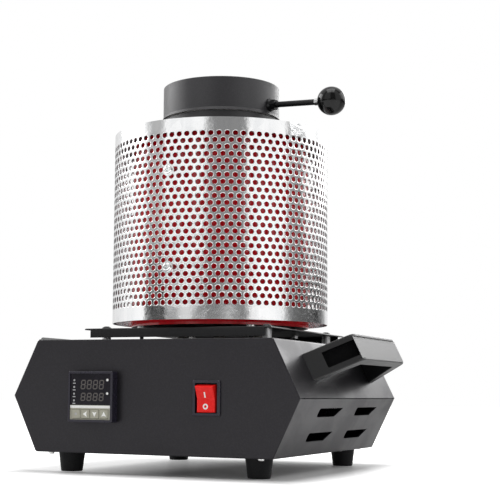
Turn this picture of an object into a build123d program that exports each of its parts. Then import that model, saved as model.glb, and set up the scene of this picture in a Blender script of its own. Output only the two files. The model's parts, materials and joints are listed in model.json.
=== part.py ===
from build123d import *
import math
import os

# Electric gold melting furnace: a hexagonal sheet-metal base with the controls, a drum furnace on a raised
# plate, a perforated guard round the drum and a lift-off lid. Millimetres, +Z up, the front faces -Y.
# The origin is on the floor, under the middle of the whole outline.

# ---- housing -------------------------------------------------------------------------------------------
BASE_DEPTH = 297.0          # front face to rear face
BASE_TOP_WIDTH = 247.0      # width of the flat top, and of the floor
BASE_MID_WIDTH = 299.0      # width at the side creases
BASE_HEIGHT = 108.0         # tray floor to flat top
SHEET = 1.2                 # housing sheet
BEND_RADIUS = 3.0           # outside radius of the bends
SEAM_GAP = 0.8              # gap between cover and tray along the side creases
PANEL_FLANGE = 12.0         # return flange of the front and rear panels
PANEL_FIT = 0.2             # gap between that flange and the housing
STRAP_REACH = 8.5           # reach of a seam strap up and down from the crease
STRAP_SHEET = 1.0
PANEL_EDGE = 1.0            # rounding of the end panels' outer edges

FOOT_HEIGHT = 19.0
FOOT_TOP_RADIUS = 13.0
FOOT_BOTTOM_RADIUS = 10.5
FOOT_INSET_X = 24.5         # foot centre from the tray floor's side edge
FOOT_INSET_Y = 28.5         # foot centre from the front or rear face

VENT_LENGTH = 67.5          # long edge of a vent slot
VENT_WIDTH = 9.2
VENT_SLANT = 17.0           # how much shorter the lower edge is
VENT_CORNER = 3.4
VENT_GAP = 44.5             # between the two slots of a row
VENT_CENTRE_Y = 6.25        # middle of the vents behind the middle of the base
VENT_ROW_DROPS = (14.8, 40.5)   # rows below the side crease, along the slope

# ---- drum furnace --------------------------------------------------------------------------------------
DRUM_SETBACK = 11.5         # drum axis behind the middle of the base
PLATE_WIDTH = 202.0
PLATE_DEPTH = 216.0
PLATE_SHEET = 1.5
PLATE_FLANGE = 9.2          # height of the turned-down flanges, sheet included
PLATE_NOTCH = 6.5           # flanges end this far from the corners
PLATE_GAP = 4.3             # under the flanges
STANDOFF_INSET_X = 13.0     # standoff from the plate's edges
STANDOFF_INSET_Y = 22.0
STANDOFF_RADIUS = 4.5

DRUM_RADIUS = 93.0
DRUM_HEIGHT = 193.5
DRUM_SHEET = 1.0
DRUM_LIFT = 4.0             # drum spacers between the plate and the drum
DRUM_SPACER_INSET = 7.0     # spacer centres inside the drum's wall
DRUM_SPACER_RADIUS = 4.5
DRUM_BOLT_GAP = 1.5         # drum bolts' ends above the housing's top
RIM_FLANGE = 9.0            # inward flange on the drum's top edge
LINING_CLEARANCE = 4.0      # inside the drum shell, for nuts
LINING_BORE = 50.0
LINING_TOP_GAP = 6.0

GUARD_RADIUS = 113.0
GUARD_SHEET = 0.8
GUARD_HEIGHT = 199.0
GUARD_DROP = 3.6            # guard's lower edge above the drum's lower edge
GUARD_COLUMNS = 24          # openings round the guard
GUARD_ROWS = 12
GUARD_OPENING = (16.5, 10.2)    # width and height of one
GUARD_MARGIN = 13.0         # plain band at both ends
GUARD_SCREW_LOW = 51.0      # screw heights above the guard's lower edge
GUARD_SCREW_HIGH = 147.5
GUARD_SEAM_ANGLE = -3.0     # degrees from straight ahead, towards +X
GUARD_SCREW_TURNS = (0, 135, 225)   # pairs of screws, in degrees from the seam
GUARD_SPACER_RADIUS = 4.0

TOP_RING_SHEET = 1.5
TOP_RING_GAP = 0.3
COLLAR_RADIUS = 61.0
COLLAR_HEIGHT = 26.5
COLLAR_SHEET = 1.2
COLLAR_FLANGE = 9.5

# ---- hot parts -----------------------------------------------------------------------------------------
CHAMBER_RADIUS = 35.0
CHAMBER_DEPTH = 153.0
MUFFLE_WALL = 7.0
MUFFLE_BELOW_COLLAR = 4.7   # muffle mouth below the collar's rim
ELEMENT_WIRE = 1.1          # radius of the heating wire
ELEMENT_RUNS = 28           # upright runs round the muffle
ELEMENT_CLEARANCE = 0.9     # between a run and the muffle
ELEMENT_START = 16.0        # straight runs start above the muffle's underside
ELEMENT_LENGTH = 112.0      # of the straight runs
LEAD_RADIUS = 1.5
LEAD_END_Z = 108.0          # lower end of both leads
BUSHING_WALL = 3.0
BUSHING_END_Z = 121.0
PROBE_RADIUS = 2.5
PROBE_END_Z = 104.0
PROBE_HEAD_RADIUS = 4.5
PROBE_HEAD_LENGTH = 10.0

# ---- lid -----------------------------------------------------------------------------------------------
LID_RADIUS = 62.0
LID_HEIGHT = 35.0
LID_SHEET = 1.2
LID_FLARE = 1.2
LID_FLARE_HEIGHT = 3.0
LID_GAP = 0.3               # lid above the collar's rim
LID_PLUG_DROP = 3.0
LID_PLUG_CLEARANCE = 1.3
HANDLE_ANGLE = 11.0         # degrees, from +X towards the front
HANDLE_DROOP = 4.2          # degrees below level
HANDLE_HEIGHT = 10.5        # above the lid's lower edge
ROD_RADIUS = 3.0
ROD_INSIDE = 8.0            # end of the rod inside the lid's wall
KNOB_REACH = 73.9           # lid wall to ball centre
KNOB_RADIUS = 14.5
KNOB_SOCKET_DEPTH = 12.0
FERRULE_WALL = 0.55
FERRULE_SHOWN = 4.3
LID_WASHER_RADIUS = 7.0
LID_WASHER_THICKNESS = 2.2
LID_NUT = (10.0, 5.0)       # flats and thickness

# ---- carry handles -------------------------------------------------------------------------------------
GRIP_WIDTH = 27.4
GRIP_FOOT_LENGTH = 183.0    # over the outside of the legs, at the housing
GRIP_TOP_LENGTH = 138.0     # over the outside of the grip
GRIP_REACH = 46.5
GRIP_THICKNESS = 10.6
GRIP_INNER_FOOT_LENGTH = 157.0
GRIP_INNER_TOP_LENGTH = 107.0
GRIP_SHIFT = 1.8            # handle's middle above the slope's middle
GRIP_CORNER = 11.0          # rounding of the ribs between leg and grip
GRIP_INNER_CORNER = 5.0
GRIP_EDGE = 1.2             # rounding along both sides
GRIP_POCKET_WIDTH = 15.8
GRIP_POCKET_DEPTH = 9.4
GRIP_POCKET_START = 17.5    # along the leg from the housing
GRIP_POCKET_END = 1.6       # from the grip's corner
GRIP_POCKET_CORNER = 1.0
GRIP_RIB = 2.4              # width of the raised ribs along the grip
GRIP_RIB_HEIGHT = 1.0
GRIP_SCREW_DEPTH = 12.0
GRIP_SCREW_Y = 81.6         # screw from the handle's middle
GRIP_SCREW_SPARE = 2.0      # left of each hole's depth

# ---- controls ------------------------------------------------------------------------------------------
CONTROLLER_INSET = 91.4     # controller's middle from the left crease
SWITCH_INSET = 90.6         # switch's middle from the right crease
CONTROL_DROP = 0.6          # both middles below the creases
CONTROLLER_FACE = 48.0
CONTROLLER_PROUD = 10.0
CONTROLLER_RIM = 2.1
CONTROLLER_CASE = 44.6
CONTROLLER_DEPTH = 78.0
CASE_WALL = 1.6
CUTOUT_GAP = 0.3
FACE_RECESS = 1.0           # window and fascia below the bezel's rim
WINDOW_HEIGHT = 29.8
WINDOW_THICKNESS = 1.6
STRIPE_HEIGHT = 3.0
FASCIA_HEIGHT = 10.6
FASCIA_THICKNESS = 2.0
KEY_WIDTH = 8.8
KEY_HEIGHT = 8.2
KEY_PITCH = 10.1
KEY_CLEARANCE = 0.3
KEY_PROUD = 0.6
KEY_LENGTH = 4.0
KEY_BOARD_GAP = 1.4         # room for a key's travel
BOARD_THICKNESS = 1.6
BOARD_FIT = 0.4             # round the boards, inside bezel and case
LAMP_RADIUS = 0.9
LAMP_LEFT = 17.8            # lamp columns from the controller's middle
LAMP_RIGHT = 18.2
LAMP_COLUMN_DROP = 6.4      # first lamp of the left column below the window's top
LAMP_PITCH = 6.35
LAMP_RIGHT_DROPS = (6.0, 18.7)
DIGIT_BLOCK = (27.5, 10.5)
DIGIT_DROPS = (12.0, 23.4)  # digit blocks' middles below the window's top
DIGIT_SHIFT = 1.5
WINDOW_FIT = 0.2            # between window and digit blocks

SWITCH_WIDTH = 27.6
SWITCH_HEIGHT = 32.4
SWITCH_FRAME = 2.0          # bezel thickness
SWITCH_OPENING = (22.2, 27.4)
SWITCH_BODY = (24.4, 29.4, 22.0)
ROCKER_WIDTH = 18.0
ROCKER_HALF = 12.3
ROCKER_DIP = 3.0            # middle of the rocker's V above the panel
ROCKER_TILT = 12.0          # each face of the V, and its stand at rest
ROCKER_PIVOT_DEPTH = 1.0    # pivot behind the panel's face
ROCKER_TAIL = 5.0
ROCKER_EDGE = 1.6           # rounding of the outer edges

INLET_INSET = 87.5          # inlet's middle from the side crease
INLET_DROP = 11.0           # and below it
INLET_FLANGE = (50.0, 28.0, 3.0)
INLET_BODY = (31.0, 22.5, 24.0)
INLET_SOCKET = (24.4, 16.6, 16.5)
INLET_SCREW_SPACING = 40.0
INLET_COUNTERBORE = 2.2
PIN_SIZE = (2.0, 4.0, 24.0)
PIN_SPREAD = 7.0
PIN_OFFSET = 2.0

RELAY_SIZE = (45.0, 60.0, 23.0)
RELAY_EAR = 3.0             # height of its screwed ends
RELAY_INSET_X = 78.5        # relay's and terminals' middles from the tray floor's edges
RELAY_INSET_Y = 86.5
TERMINAL_SIZE = (46.0, 22.0, 18.0)
TERMINAL_EAR = 4.0
TERMINAL_INSET_X = 71.5
TERMINAL_INSET_Y = 128.5
STUD_INSET_X = 18.5         # earth stud from the tray floor's edges
STUD_INSET_Y = 60.0
WIRE_RADIUS = 1.5

# ---- fasteners -----------------------------------------------------------------------------------------
M3 = 1.5                    # shank radii
M4 = 2.0
M5 = 2.5
M3_HEAD = (2.8, 2.0)        # radius and height of each head
M4_HEAD = (4.0, 2.4)
M5_DOME = (6.0, 3.4)
M4_DOME = (4.4, 2.6)
GUARD_HEAD = (4.2, 2.8)
GUARD_WASHER = (6.2, 1.0)
M5_NUT = (8.0, 4.0)         # flats and thickness of each nut
M4_NUT = (7.0, 3.0)
M4_SLIM_NUT = (6.0, 2.6)
PAST_NUT = 1.2              # a screw's end beyond its nut
M3_PANEL_LENGTH = 5.0       # under the head
M3_INLET_LENGTH = 8.0
STUD_LENGTH = 16.0
HOLE_CLEARANCE = 0.15       # round a shank
NUT_SEAT = 0.08             # a flat nut stands this far off the drum's curved wall

# ---- worked out ----------------------------------------------------------------------------------------
BASE_Y = (CONTROLLER_PROUD - INLET_FLANGE[2]) / 2
FRONT_Y = BASE_Y - BASE_DEPTH / 2
REAR_Y = BASE_Y + BASE_DEPTH / 2
FLOOR_Z = FOOT_HEIGHT
TOP_Z = FOOT_HEIGHT + BASE_HEIGHT
CREASE_Z = FOOT_HEIGHT + BASE_HEIGHT / 2
FLOOR_EDGE_X = BASE_TOP_WIDTH / 2
CREASE_X = BASE_MID_WIDTH / 2
FOOT_X = FLOOR_EDGE_X - FOOT_INSET_X
CONTROLLER_X = CONTROLLER_INSET - CREASE_X
SWITCH_X = CREASE_X - SWITCH_INSET
INLET_X = CREASE_X - INLET_INSET
INLET_Z = CREASE_Z - INLET_DROP
STUD_X = FLOOR_EDGE_X - STUD_INSET_X
STUD_Y = REAR_Y - STUD_INSET_Y
RELAY_X = RELAY_INSET_X - FLOOR_EDGE_X
RELAY_Y = REAR_Y - RELAY_INSET_Y
TERMINAL_X = FLOOR_EDGE_X - TERMINAL_INSET_X
TERMINAL_Y = REAR_Y - TERMINAL_INSET_Y
SLOPE = math.degrees(math.atan2(BASE_MID_WIDTH - BASE_TOP_WIDTH, BASE_HEIGHT))

AXIS_Y = BASE_Y + DRUM_SETBACK
PLATE_BOTTOM_Z = TOP_Z + PLATE_GAP
PLATE_TOP_Z = PLATE_BOTTOM_Z + PLATE_FLANGE
PLATE_UNDER_Z = PLATE_TOP_Z - PLATE_SHEET
STANDOFF_X = PLATE_WIDTH / 2 - STANDOFF_INSET_X
STANDOFF_Y = PLATE_DEPTH / 2 - STANDOFF_INSET_Y
DRUM_SPACER_RING = DRUM_RADIUS - DRUM_SPACER_INSET
DRUM_Z = PLATE_TOP_Z + DRUM_LIFT
DRUM_FLOOR_Z = DRUM_Z + PLATE_SHEET
DRUM_TOP_Z = DRUM_Z + DRUM_HEIGHT
GUARD_Z = DRUM_Z + GUARD_DROP
RING_TOP_Z = DRUM_TOP_Z + TOP_RING_SHEET
COLLAR_TOP_Z = RING_TOP_Z + COLLAR_HEIGHT
MUFFLE_TOP_Z = COLLAR_TOP_Z - MUFFLE_BELOW_COLLAR
CHAMBER_FLOOR_Z = MUFFLE_TOP_Z - CHAMBER_DEPTH
MUFFLE_Z = CHAMBER_FLOOR_Z - MUFFLE_WALL
MUFFLE_RADIUS = CHAMBER_RADIUS + MUFFLE_WALL
ELEMENT_RADIUS = MUFFLE_RADIUS + ELEMENT_CLEARANCE + ELEMENT_WIRE
ELEMENT_STEP = 360.0 / ELEMENT_RUNS
ELEMENT_BEND = ELEMENT_RADIUS * math.sin(math.radians(ELEMENT_STEP / 2))
ELEMENT_BEND_RING = ELEMENT_RADIUS * math.cos(math.radians(ELEMENT_STEP / 2))
ELEMENT_LOW_Z = MUFFLE_Z + ELEMENT_START
ELEMENT_HIGH_Z = ELEMENT_LOW_Z + ELEMENT_LENGTH
LINING_TOP_Z = DRUM_TOP_Z - LINING_TOP_GAP
LID_Z = COLLAR_TOP_Z + LID_GAP
LID_TOP_Z = LID_Z + LID_HEIGHT
CONTROL_Z = CREASE_Z - CONTROL_DROP
TRAY_TOP_Z = FLOOR_Z + SHEET

KEY_NAMES = ("key_set", "key_shift", "key_down", "key_up")


def named(shape, label):
    """Give a shape its node name."""
    shape.label = label
    return shape


def group(solids):
    """Several separate solids as one node."""
    return Compound(children=list(solids))


def rod(x, y, z, radius, height):
    """Upright cylinder that starts at z."""
    return Pos(x, y, z + height / 2) * Cylinder(radius, height)


def tube(x, y, z, outer, inner, height):
    """Upright tube that starts at z."""
    return rod(x, y, z, outer, height) - rod(x, y, z, inner, height)


def block(x, y, z, width, depth, height):
    """Box centred on x and y that starts at z."""
    return Pos(x, y, z + height / 2) * Box(width, depth, height)


def facing_front(y):
    """Sketch plane at y, seen from the front: its own axes are X and Z."""
    return Plane(origin=(0, y, 0), x_dir=(1, 0, 0), z_dir=(0, -1, 0))


def around_axis(radius, angle):
    """Point on a ring round the drum's axis; the angle counts from straight ahead towards +X."""
    turn = math.radians(angle)
    return radius * math.sin(turn), AXIS_Y - radius * math.cos(turn)


def hexagon(inset):
    """Cross-section of the housing, moved inwards by inset, with rounded bends."""
    lean = math.radians(SLOPE)
    flat_half = BASE_TOP_WIDTH / 2 - inset * (1 - math.sin(lean)) / math.cos(lean)
    crease_half = BASE_MID_WIDTH / 2 - inset / math.cos(lean)
    low = FLOOR_Z + inset
    high = TOP_Z - inset
    corners = [(-flat_half, high), (flat_half, high), (crease_half, CREASE_Z),
               (flat_half, low), (-flat_half, low), (-crease_half, CREASE_Z)]
    face = make_face(Polyline(*corners, close=True))
    bends = face.vertices().filter_by(lambda v: abs(v.Y - CREASE_Z) > 1.0)
    return fillet(bends, max(BEND_RADIUS - inset, 0.4))


def hexagon_bar(inset, start_y, end_y):
    """The cross-section carried from start_y to end_y."""
    return extrude(facing_front(start_y) * hexagon(inset), amount=start_y - end_y)


def upper_slope(side):
    """Plane on an upper slope's middle: x runs to the rear, y up the slope, z outwards."""
    lean = math.radians(SLOPE)
    middle = ((BASE_TOP_WIDTH + BASE_MID_WIDTH) / 4, BASE_Y, (TOP_Z + CREASE_Z) / 2)
    return Plane(origin=(side * middle[0], middle[1], middle[2]), x_dir=(0, side, 0),
                 z_dir=(side * math.cos(lean), 0, math.sin(lean)))


def lower_slope():
    """Plane at the right crease on the lower slope: x runs to the rear, y up the slope, z outwards."""
    lean = math.radians(SLOPE)
    return Plane(origin=(BASE_MID_WIDTH / 2, BASE_Y, CREASE_Z), x_dir=(0, 1, 0),
                 z_dir=(math.cos(lean), 0, -math.sin(lean)))


def dome_screw(radius, head, length):
    """Dome-head screw: the head stands on z = 0, the shank hangs below."""
    head_radius, head_height = head
    ball = (head_radius ** 2 + head_height ** 2) / (2 * head_height)
    cap = Pos(0, 0, head_height - ball) * Sphere(ball)
    cap = cap & (Pos(0, 0, head_height / 2) * Cylinder(head_radius, head_height))
    drive = Pos(0, 0, head_height) * extrude(RegularPolygon(head_radius * 0.42, 6), amount=head_height * 0.45,
                                             both=True)
    return cap - drive + Pos(0, 0, -length / 2) * Cylinder(radius, length)


def pan_screw(radius, head, length):
    """Pan-head screw with a cross recess: the head stands on z = 0, the shank hangs below."""
    head_radius, head_height = head
    pan = Pos(0, 0, head_height / 2) * Cylinder(head_radius, head_height)
    pan = fillet(pan.edges().sort_by(Axis.Z)[-1], head_height * 0.55)
    slot = Box(head_radius * 1.1, head_radius * 0.26, head_height * 0.8)
    cross = Pos(0, 0, head_height) * (slot + Rot(0, 0, 90) * slot)
    return pan - cross + Pos(0, 0, -length / 2) * Cylinder(radius, length)


def hex_nut(radius, nut):
    """Nut that stands on z = 0, bored for a shank with clearance."""
    flats, thickness = nut
    body = extrude(RegularPolygon(flats / math.sqrt(3), 6), amount=thickness)
    return body - Pos(0, 0, thickness / 2) * Cylinder(radius + HOLE_CLEARANCE, 2 * thickness)


def placed(shape, x, y, z, direction):
    """Put a shape made along +Z at a point, with its +Z along direction."""
    return Plane(origin=(x, y, z), z_dir=direction).location * shape


# ---- places that several pieces share --------------------------------------------------------------------
FOOT_PLACES = [(sx * FOOT_X, y) for y in (FRONT_Y + FOOT_INSET_Y, REAR_Y - FOOT_INSET_Y) for sx in (-1, 1)]
FOOT_NAMES = ("foot_front_left", "foot_front_right", "foot_rear_left", "foot_rear_right")
STANDOFF_PLACES = [(sx * STANDOFF_X, AXIS_Y + sy * STANDOFF_Y) for sy in (-1, 1) for sx in (-1, 1)]
DRUM_BOLT_PLACES = [around_axis(DRUM_SPACER_RING, angle) for angle in (45, 135, 225, 315)]
RING_SCREW_RADIUS = DRUM_RADIUS - RIM_FLANGE / 2 - 0.8
RING_SCREW_PLACES = [around_axis(RING_SCREW_RADIUS, angle) for angle in (30, 90, 150, 210, 270, 330)]
COLLAR_SCREW_RADIUS = COLLAR_RADIUS + COLLAR_FLANGE / 2
COLLAR_SCREW_PLACES = [around_axis(COLLAR_SCREW_RADIUS, angle) for angle in (0, 90, 180, 270)]
GUARD_SCREW_ANGLES = [GUARD_SEAM_ANGLE + turn for turn in GUARD_SCREW_TURNS]
GUARD_SCREW_HEIGHTS = (GUARD_Z + GUARD_SCREW_LOW, GUARD_Z + GUARD_SCREW_HIGH)
RIGHT_LEAD_X = ELEMENT_BEND_RING
LEFT_LEAD_X = -ELEMENT_BEND_RING
PANEL_SCREW_X = BASE_TOP_WIDTH / 2 - 14.0
PANEL_SCREW_PLACES = [(sx * PANEL_SCREW_X, y) for y in (FRONT_Y + PANEL_FLANGE / 2 + SHEET,
                                                       REAR_Y - PANEL_FLANGE / 2 - SHEET) for sx in (-1, 1)]


# ---- housing -------------------------------------------------------------------------------------------
def housing_shell():
    """Hexagonal sleeve between the two panels."""
    start = FRONT_Y + SHEET
    end = REAR_Y - SHEET
    return hexagon_bar(0, start, end) - hexagon_bar(SHEET, start - 1, end + 1)


def grip_screw_holes(side):
    """Holes for the carry handle's screws through one upper slope."""
    holes = Cylinder(M4 + HOLE_CLEARANCE, 8 * SHEET)
    slope = upper_slope(side).location
    return [slope * Pos(dy, GRIP_SHIFT, 0) * holes for dy in (-GRIP_SCREW_Y, GRIP_SCREW_Y)]


def top_cover():
    """Flat top with both upper slopes."""
    keep = block(0, BASE_Y, CREASE_Z + SEAM_GAP / 2, 2 * BASE_MID_WIDTH, 2 * BASE_DEPTH, BASE_HEIGHT)
    cover = housing_shell() & keep
    for x, y in STANDOFF_PLACES:
        cover -= rod(x, y, TOP_Z - 2 * SHEET, M5 + HOLE_CLEARANCE, 4 * SHEET)
    for x, radius in bushing_rows():
        cover -= rod(x, AXIS_Y, TOP_Z - 2 * SHEET, radius + BUSHING_WALL + HOLE_CLEARANCE, 4 * SHEET)
    for side in (-1, 1):
        for hole in grip_screw_holes(side):
            cover -= hole
    return cover


def vent_slot(row_drop, start):
    """One vent slot in the lower slope's plane, with a slanted rear end."""
    high = -row_drop + VENT_WIDTH / 2
    low = -row_drop - VENT_WIDTH / 2
    end = start + VENT_LENGTH
    face = make_face(Polyline((start, low), (end - VENT_SLANT, low), (end, high), (start, high), close=True))
    front = face.vertices().filter_by(lambda v: abs(v.X - start) < 0.1)
    return fillet(front, VENT_CORNER)


def vent_cuts():
    """Four slots for the right side, as solids that pass through the sheet."""
    cuts = []
    for drop in VENT_ROW_DROPS:
        for start in (VENT_CENTRE_Y - VENT_GAP / 2 - VENT_LENGTH, VENT_CENTRE_Y + VENT_GAP / 2):
            slot = lower_slope() * vent_slot(drop, start)
            cuts.append(extrude(slot, amount=4 * SHEET, both=True))
    return cuts


def bottom_tray():
    """Floor with both lower slopes, vented on both sides."""
    keep_bottom = CREASE_Z - SEAM_GAP / 2 - BASE_HEIGHT
    tray = housing_shell() & block(0, BASE_Y, keep_bottom, 2 * BASE_MID_WIDTH, 2 * BASE_DEPTH, BASE_HEIGHT)
    for cut in vent_cuts():
        tray -= cut
        tray -= mirror(cut, about=Plane.YZ)
    for x, y in FOOT_PLACES + terminal_screw_places() + relay_screw_places() + [(STUD_X, STUD_Y)]:
        tray -= rod(x, y, FLOOR_Z - SHEET, M4 + HOLE_CLEARANCE, 4 * SHEET)
    for x, y in PANEL_SCREW_PLACES:
        tray -= rod(x, y, FLOOR_Z - SHEET, M3 + HOLE_CLEARANCE, 4 * SHEET)
    return tray


def end_panel(face_y, inward):
    """Hexagonal end panel with a return flange; inward is +1 for the front and -1 for the rear."""
    plate = hexagon_bar(0, face_y, face_y + inward * SHEET)
    outside = plate.faces().filter_by(Axis.Y).sort_by(Axis.Y)[0 if inward > 0 else -1]
    plate = fillet(outside.edges(), PANEL_EDGE)
    start = face_y + inward * SHEET
    end = start + inward * PANEL_FLANGE
    outer = hexagon_bar(SHEET + PANEL_FIT, start, end)
    flange = outer - hexagon_bar(2 * SHEET + PANEL_FIT, start - inward, end + inward)
    panel = plate + flange
    for x, y in PANEL_SCREW_PLACES:
        if abs(y - face_y) < BASE_DEPTH / 2:
            panel -= rod(x, y, FLOOR_Z, M3 + HOLE_CLEARANCE, 6 * SHEET)
    return panel


def front_panel():
    """Front face, cut out for the controller and the switch."""
    panel = end_panel(FRONT_Y, 1)
    square = CONTROLLER_CASE + 2 * CUTOUT_GAP
    panel -= block(CONTROLLER_X, FRONT_Y, CONTROL_Z - square / 2, square, 4 * SHEET, square)
    width = SWITCH_BODY[0] + 2 * CUTOUT_GAP
    height = SWITCH_BODY[1] + 2 * CUTOUT_GAP
    panel -= block(SWITCH_X, FRONT_Y, CONTROL_Z - height / 2, width, 4 * SHEET, height)
    return panel


def rear_panel():
    """Rear face, cut out for the mains inlet."""
    panel = end_panel(REAR_Y, -1)
    width = INLET_BODY[0] + 2 * CUTOUT_GAP
    height = INLET_BODY[1] + 2 * CUTOUT_GAP
    panel -= block(INLET_X, REAR_Y, INLET_Z - height / 2, width, 4 * SHEET, height)
    for x in inlet_screw_xs():
        panel -= placed(Cylinder(M3 + HOLE_CLEARANCE, 8 * SHEET), x, REAR_Y, INLET_Z, (0, 1, 0))
    return panel


def seam_straps():
    """Bent strips that back both side seams, between the panels' flanges."""
    start = FRONT_Y + 2 * SHEET + PANEL_FLANGE
    end = REAR_Y - 2 * SHEET - PANEL_FLANGE
    ring = hexagon_bar(SHEET, start, end) - hexagon_bar(SHEET + STRAP_SHEET, start - 1, end + 1)
    straps = []
    for side in (-1, 1):
        keep = block(side * BASE_MID_WIDTH / 2, BASE_Y, CREASE_Z - STRAP_REACH, BASE_TOP_WIDTH, BASE_DEPTH,
                     2 * STRAP_REACH)
        straps.append(ring & keep)
    return group(straps)


def panel_screws():
    """M3 screws up through the tray into the panels' flanges, and the inlet's two."""
    screws = [placed(pan_screw(M3, M3_HEAD, M3_PANEL_LENGTH), x, y, FLOOR_Z, (0, 0, -1))
              for x, y in PANEL_SCREW_PLACES]
    for x in inlet_screw_xs():
        seat = REAR_Y + INLET_FLANGE[2] - INLET_COUNTERBORE
        screws.append(placed(pan_screw(M3, M3_HEAD, M3_INLET_LENGTH), x, seat, INLET_Z, (0, 1, 0)))
    return group(screws)


# ---- feet ----------------------------------------------------------------------------------------------
FOOT_RECESS_RADIUS = 5.5
FOOT_RECESS_DEPTH = 8.0


def rubber_foot(x, y):
    """Tapered foot with a screw recess in its underside."""
    foot = Pos(x, y, FOOT_HEIGHT / 2) * Cone(FOOT_BOTTOM_RADIUS, FOOT_TOP_RADIUS, FOOT_HEIGHT)
    foot = fillet(foot.edges().filter_by(GeomType.CIRCLE).sort_by(Axis.Z)[0], 1.0)
    foot -= rod(x, y, 0, FOOT_RECESS_RADIUS, FOOT_RECESS_DEPTH)
    return foot - rod(x, y, 0, M4 + HOLE_CLEARANCE, FOOT_HEIGHT)


def foot_screws():
    """M4 screws up through the feet and the tray."""
    length = FOOT_HEIGHT - FOOT_RECESS_DEPTH + SHEET + M4_NUT[1] + PAST_NUT
    return group(placed(pan_screw(M4, M4_HEAD, length), x, y, FOOT_RECESS_DEPTH, (0, 0, -1))
                 for x, y in FOOT_PLACES)


# ---- carry handles -------------------------------------------------------------------------------------
def grip_profile(corner):
    """The bow's outline as a face, length by reach; its outer corners are rounded where corner isn't 0."""
    foot = GRIP_FOOT_LENGTH / 2
    top = GRIP_TOP_LENGTH / 2
    inner_foot = GRIP_INNER_FOOT_LENGTH / 2
    inner_top = GRIP_INNER_TOP_LENGTH / 2
    inner_reach = GRIP_REACH - GRIP_THICKNESS
    outline = [(-foot, 0), (-top, GRIP_REACH), (top, GRIP_REACH), (foot, 0),
               (inner_foot, 0), (inner_top, inner_reach), (-inner_top, inner_reach), (-inner_foot, 0)]
    face = make_face(Polyline(*outline, close=True))
    face = fillet(face.vertices().filter_by(lambda v: abs(v.Y - inner_reach) < 0.01), GRIP_INNER_CORNER)
    if corner:
        face = fillet(face.vertices().filter_by(lambda v: abs(v.Y - GRIP_REACH) < 0.01), corner)
    return face


def carry_handle(side):
    """Moulded trapezoid bow on an upper slope: rounded ribs along both sides, a flat grip sunk between them,
    a pocket in each leg and a hole for a screw in each foot."""
    ribs = Plane(origin=(0, GRIP_WIDTH / 2, 0), x_dir=(1, 0, 0), z_dir=(0, -1, 0))
    bow = extrude(ribs * grip_profile(GRIP_CORNER), amount=GRIP_WIDTH)
    bow = fillet(bow.edges().filter_by(lambda e: abs(abs(e.center().Y) - GRIP_WIDTH / 2) < 0.01
                                       and e.center().Z > 1.0), GRIP_EDGE)
    middle_width = GRIP_WIDTH - 2 * GRIP_RIB
    middle = Plane(origin=(0, middle_width / 2, 0), x_dir=(1, 0, 0), z_dir=(0, -1, 0))
    bow += extrude(middle * grip_profile(0), amount=middle_width)
    bow -= Pos(0, 0, GRIP_REACH) * Box(GRIP_FOOT_LENGTH, middle_width, 2 * GRIP_RIB_HEIGHT)
    foot = GRIP_FOOT_LENGTH / 2
    inset = foot - GRIP_TOP_LENGTH / 2
    lean = math.degrees(math.atan2(inset, GRIP_REACH))
    length = math.hypot(inset, GRIP_REACH) - GRIP_POCKET_START - GRIP_POCKET_END
    pocket = Box(2 * GRIP_POCKET_DEPTH, GRIP_POCKET_WIDTH, length)
    pocket = fillet(pocket.edges().filter_by(Axis.X), GRIP_POCKET_CORNER)
    screw_hole = Cylinder(M4 + HOLE_CLEARANCE, GRIP_SCREW_DEPTH)
    for end in (-1, 1):
        centre = GRIP_POCKET_START + length / 2
        bow -= Pos(end * foot, 0, 0) * Rot(0, -end * lean, 0) * Pos(0, 0, centre) * pocket
        bow -= Pos(end * GRIP_SCREW_Y, 0, GRIP_SCREW_DEPTH / 2) * screw_hole
    return upper_slope(side).location * Pos(0, GRIP_SHIFT, 0) * bow


def handle_screws():
    """M4 screws from inside the housing into the handles' legs."""
    length = GRIP_SCREW_DEPTH - GRIP_SCREW_SPARE + SHEET
    screw = Pos(0, 0, -SHEET) * Rot(180, 0, 0) * pan_screw(M4, M4_HEAD, length)
    return group(upper_slope(side).location * Pos(dy, GRIP_SHIFT, 0) * screw
                 for side in (-1, 1) for dy in (-GRIP_SCREW_Y, GRIP_SCREW_Y))


# ---- plate and drum ------------------------------------------------------------------------------------
def bushing_rows():
    """The three lines through the drum's floor: their x and the radius they carry."""
    return [(RIGHT_LEAD_X, LEAD_RADIUS + HOLE_CLEARANCE), (LEFT_LEAD_X, LEAD_RADIUS + HOLE_CLEARANCE),
            (0.0, PROBE_RADIUS + HOLE_CLEARANCE)]


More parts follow.
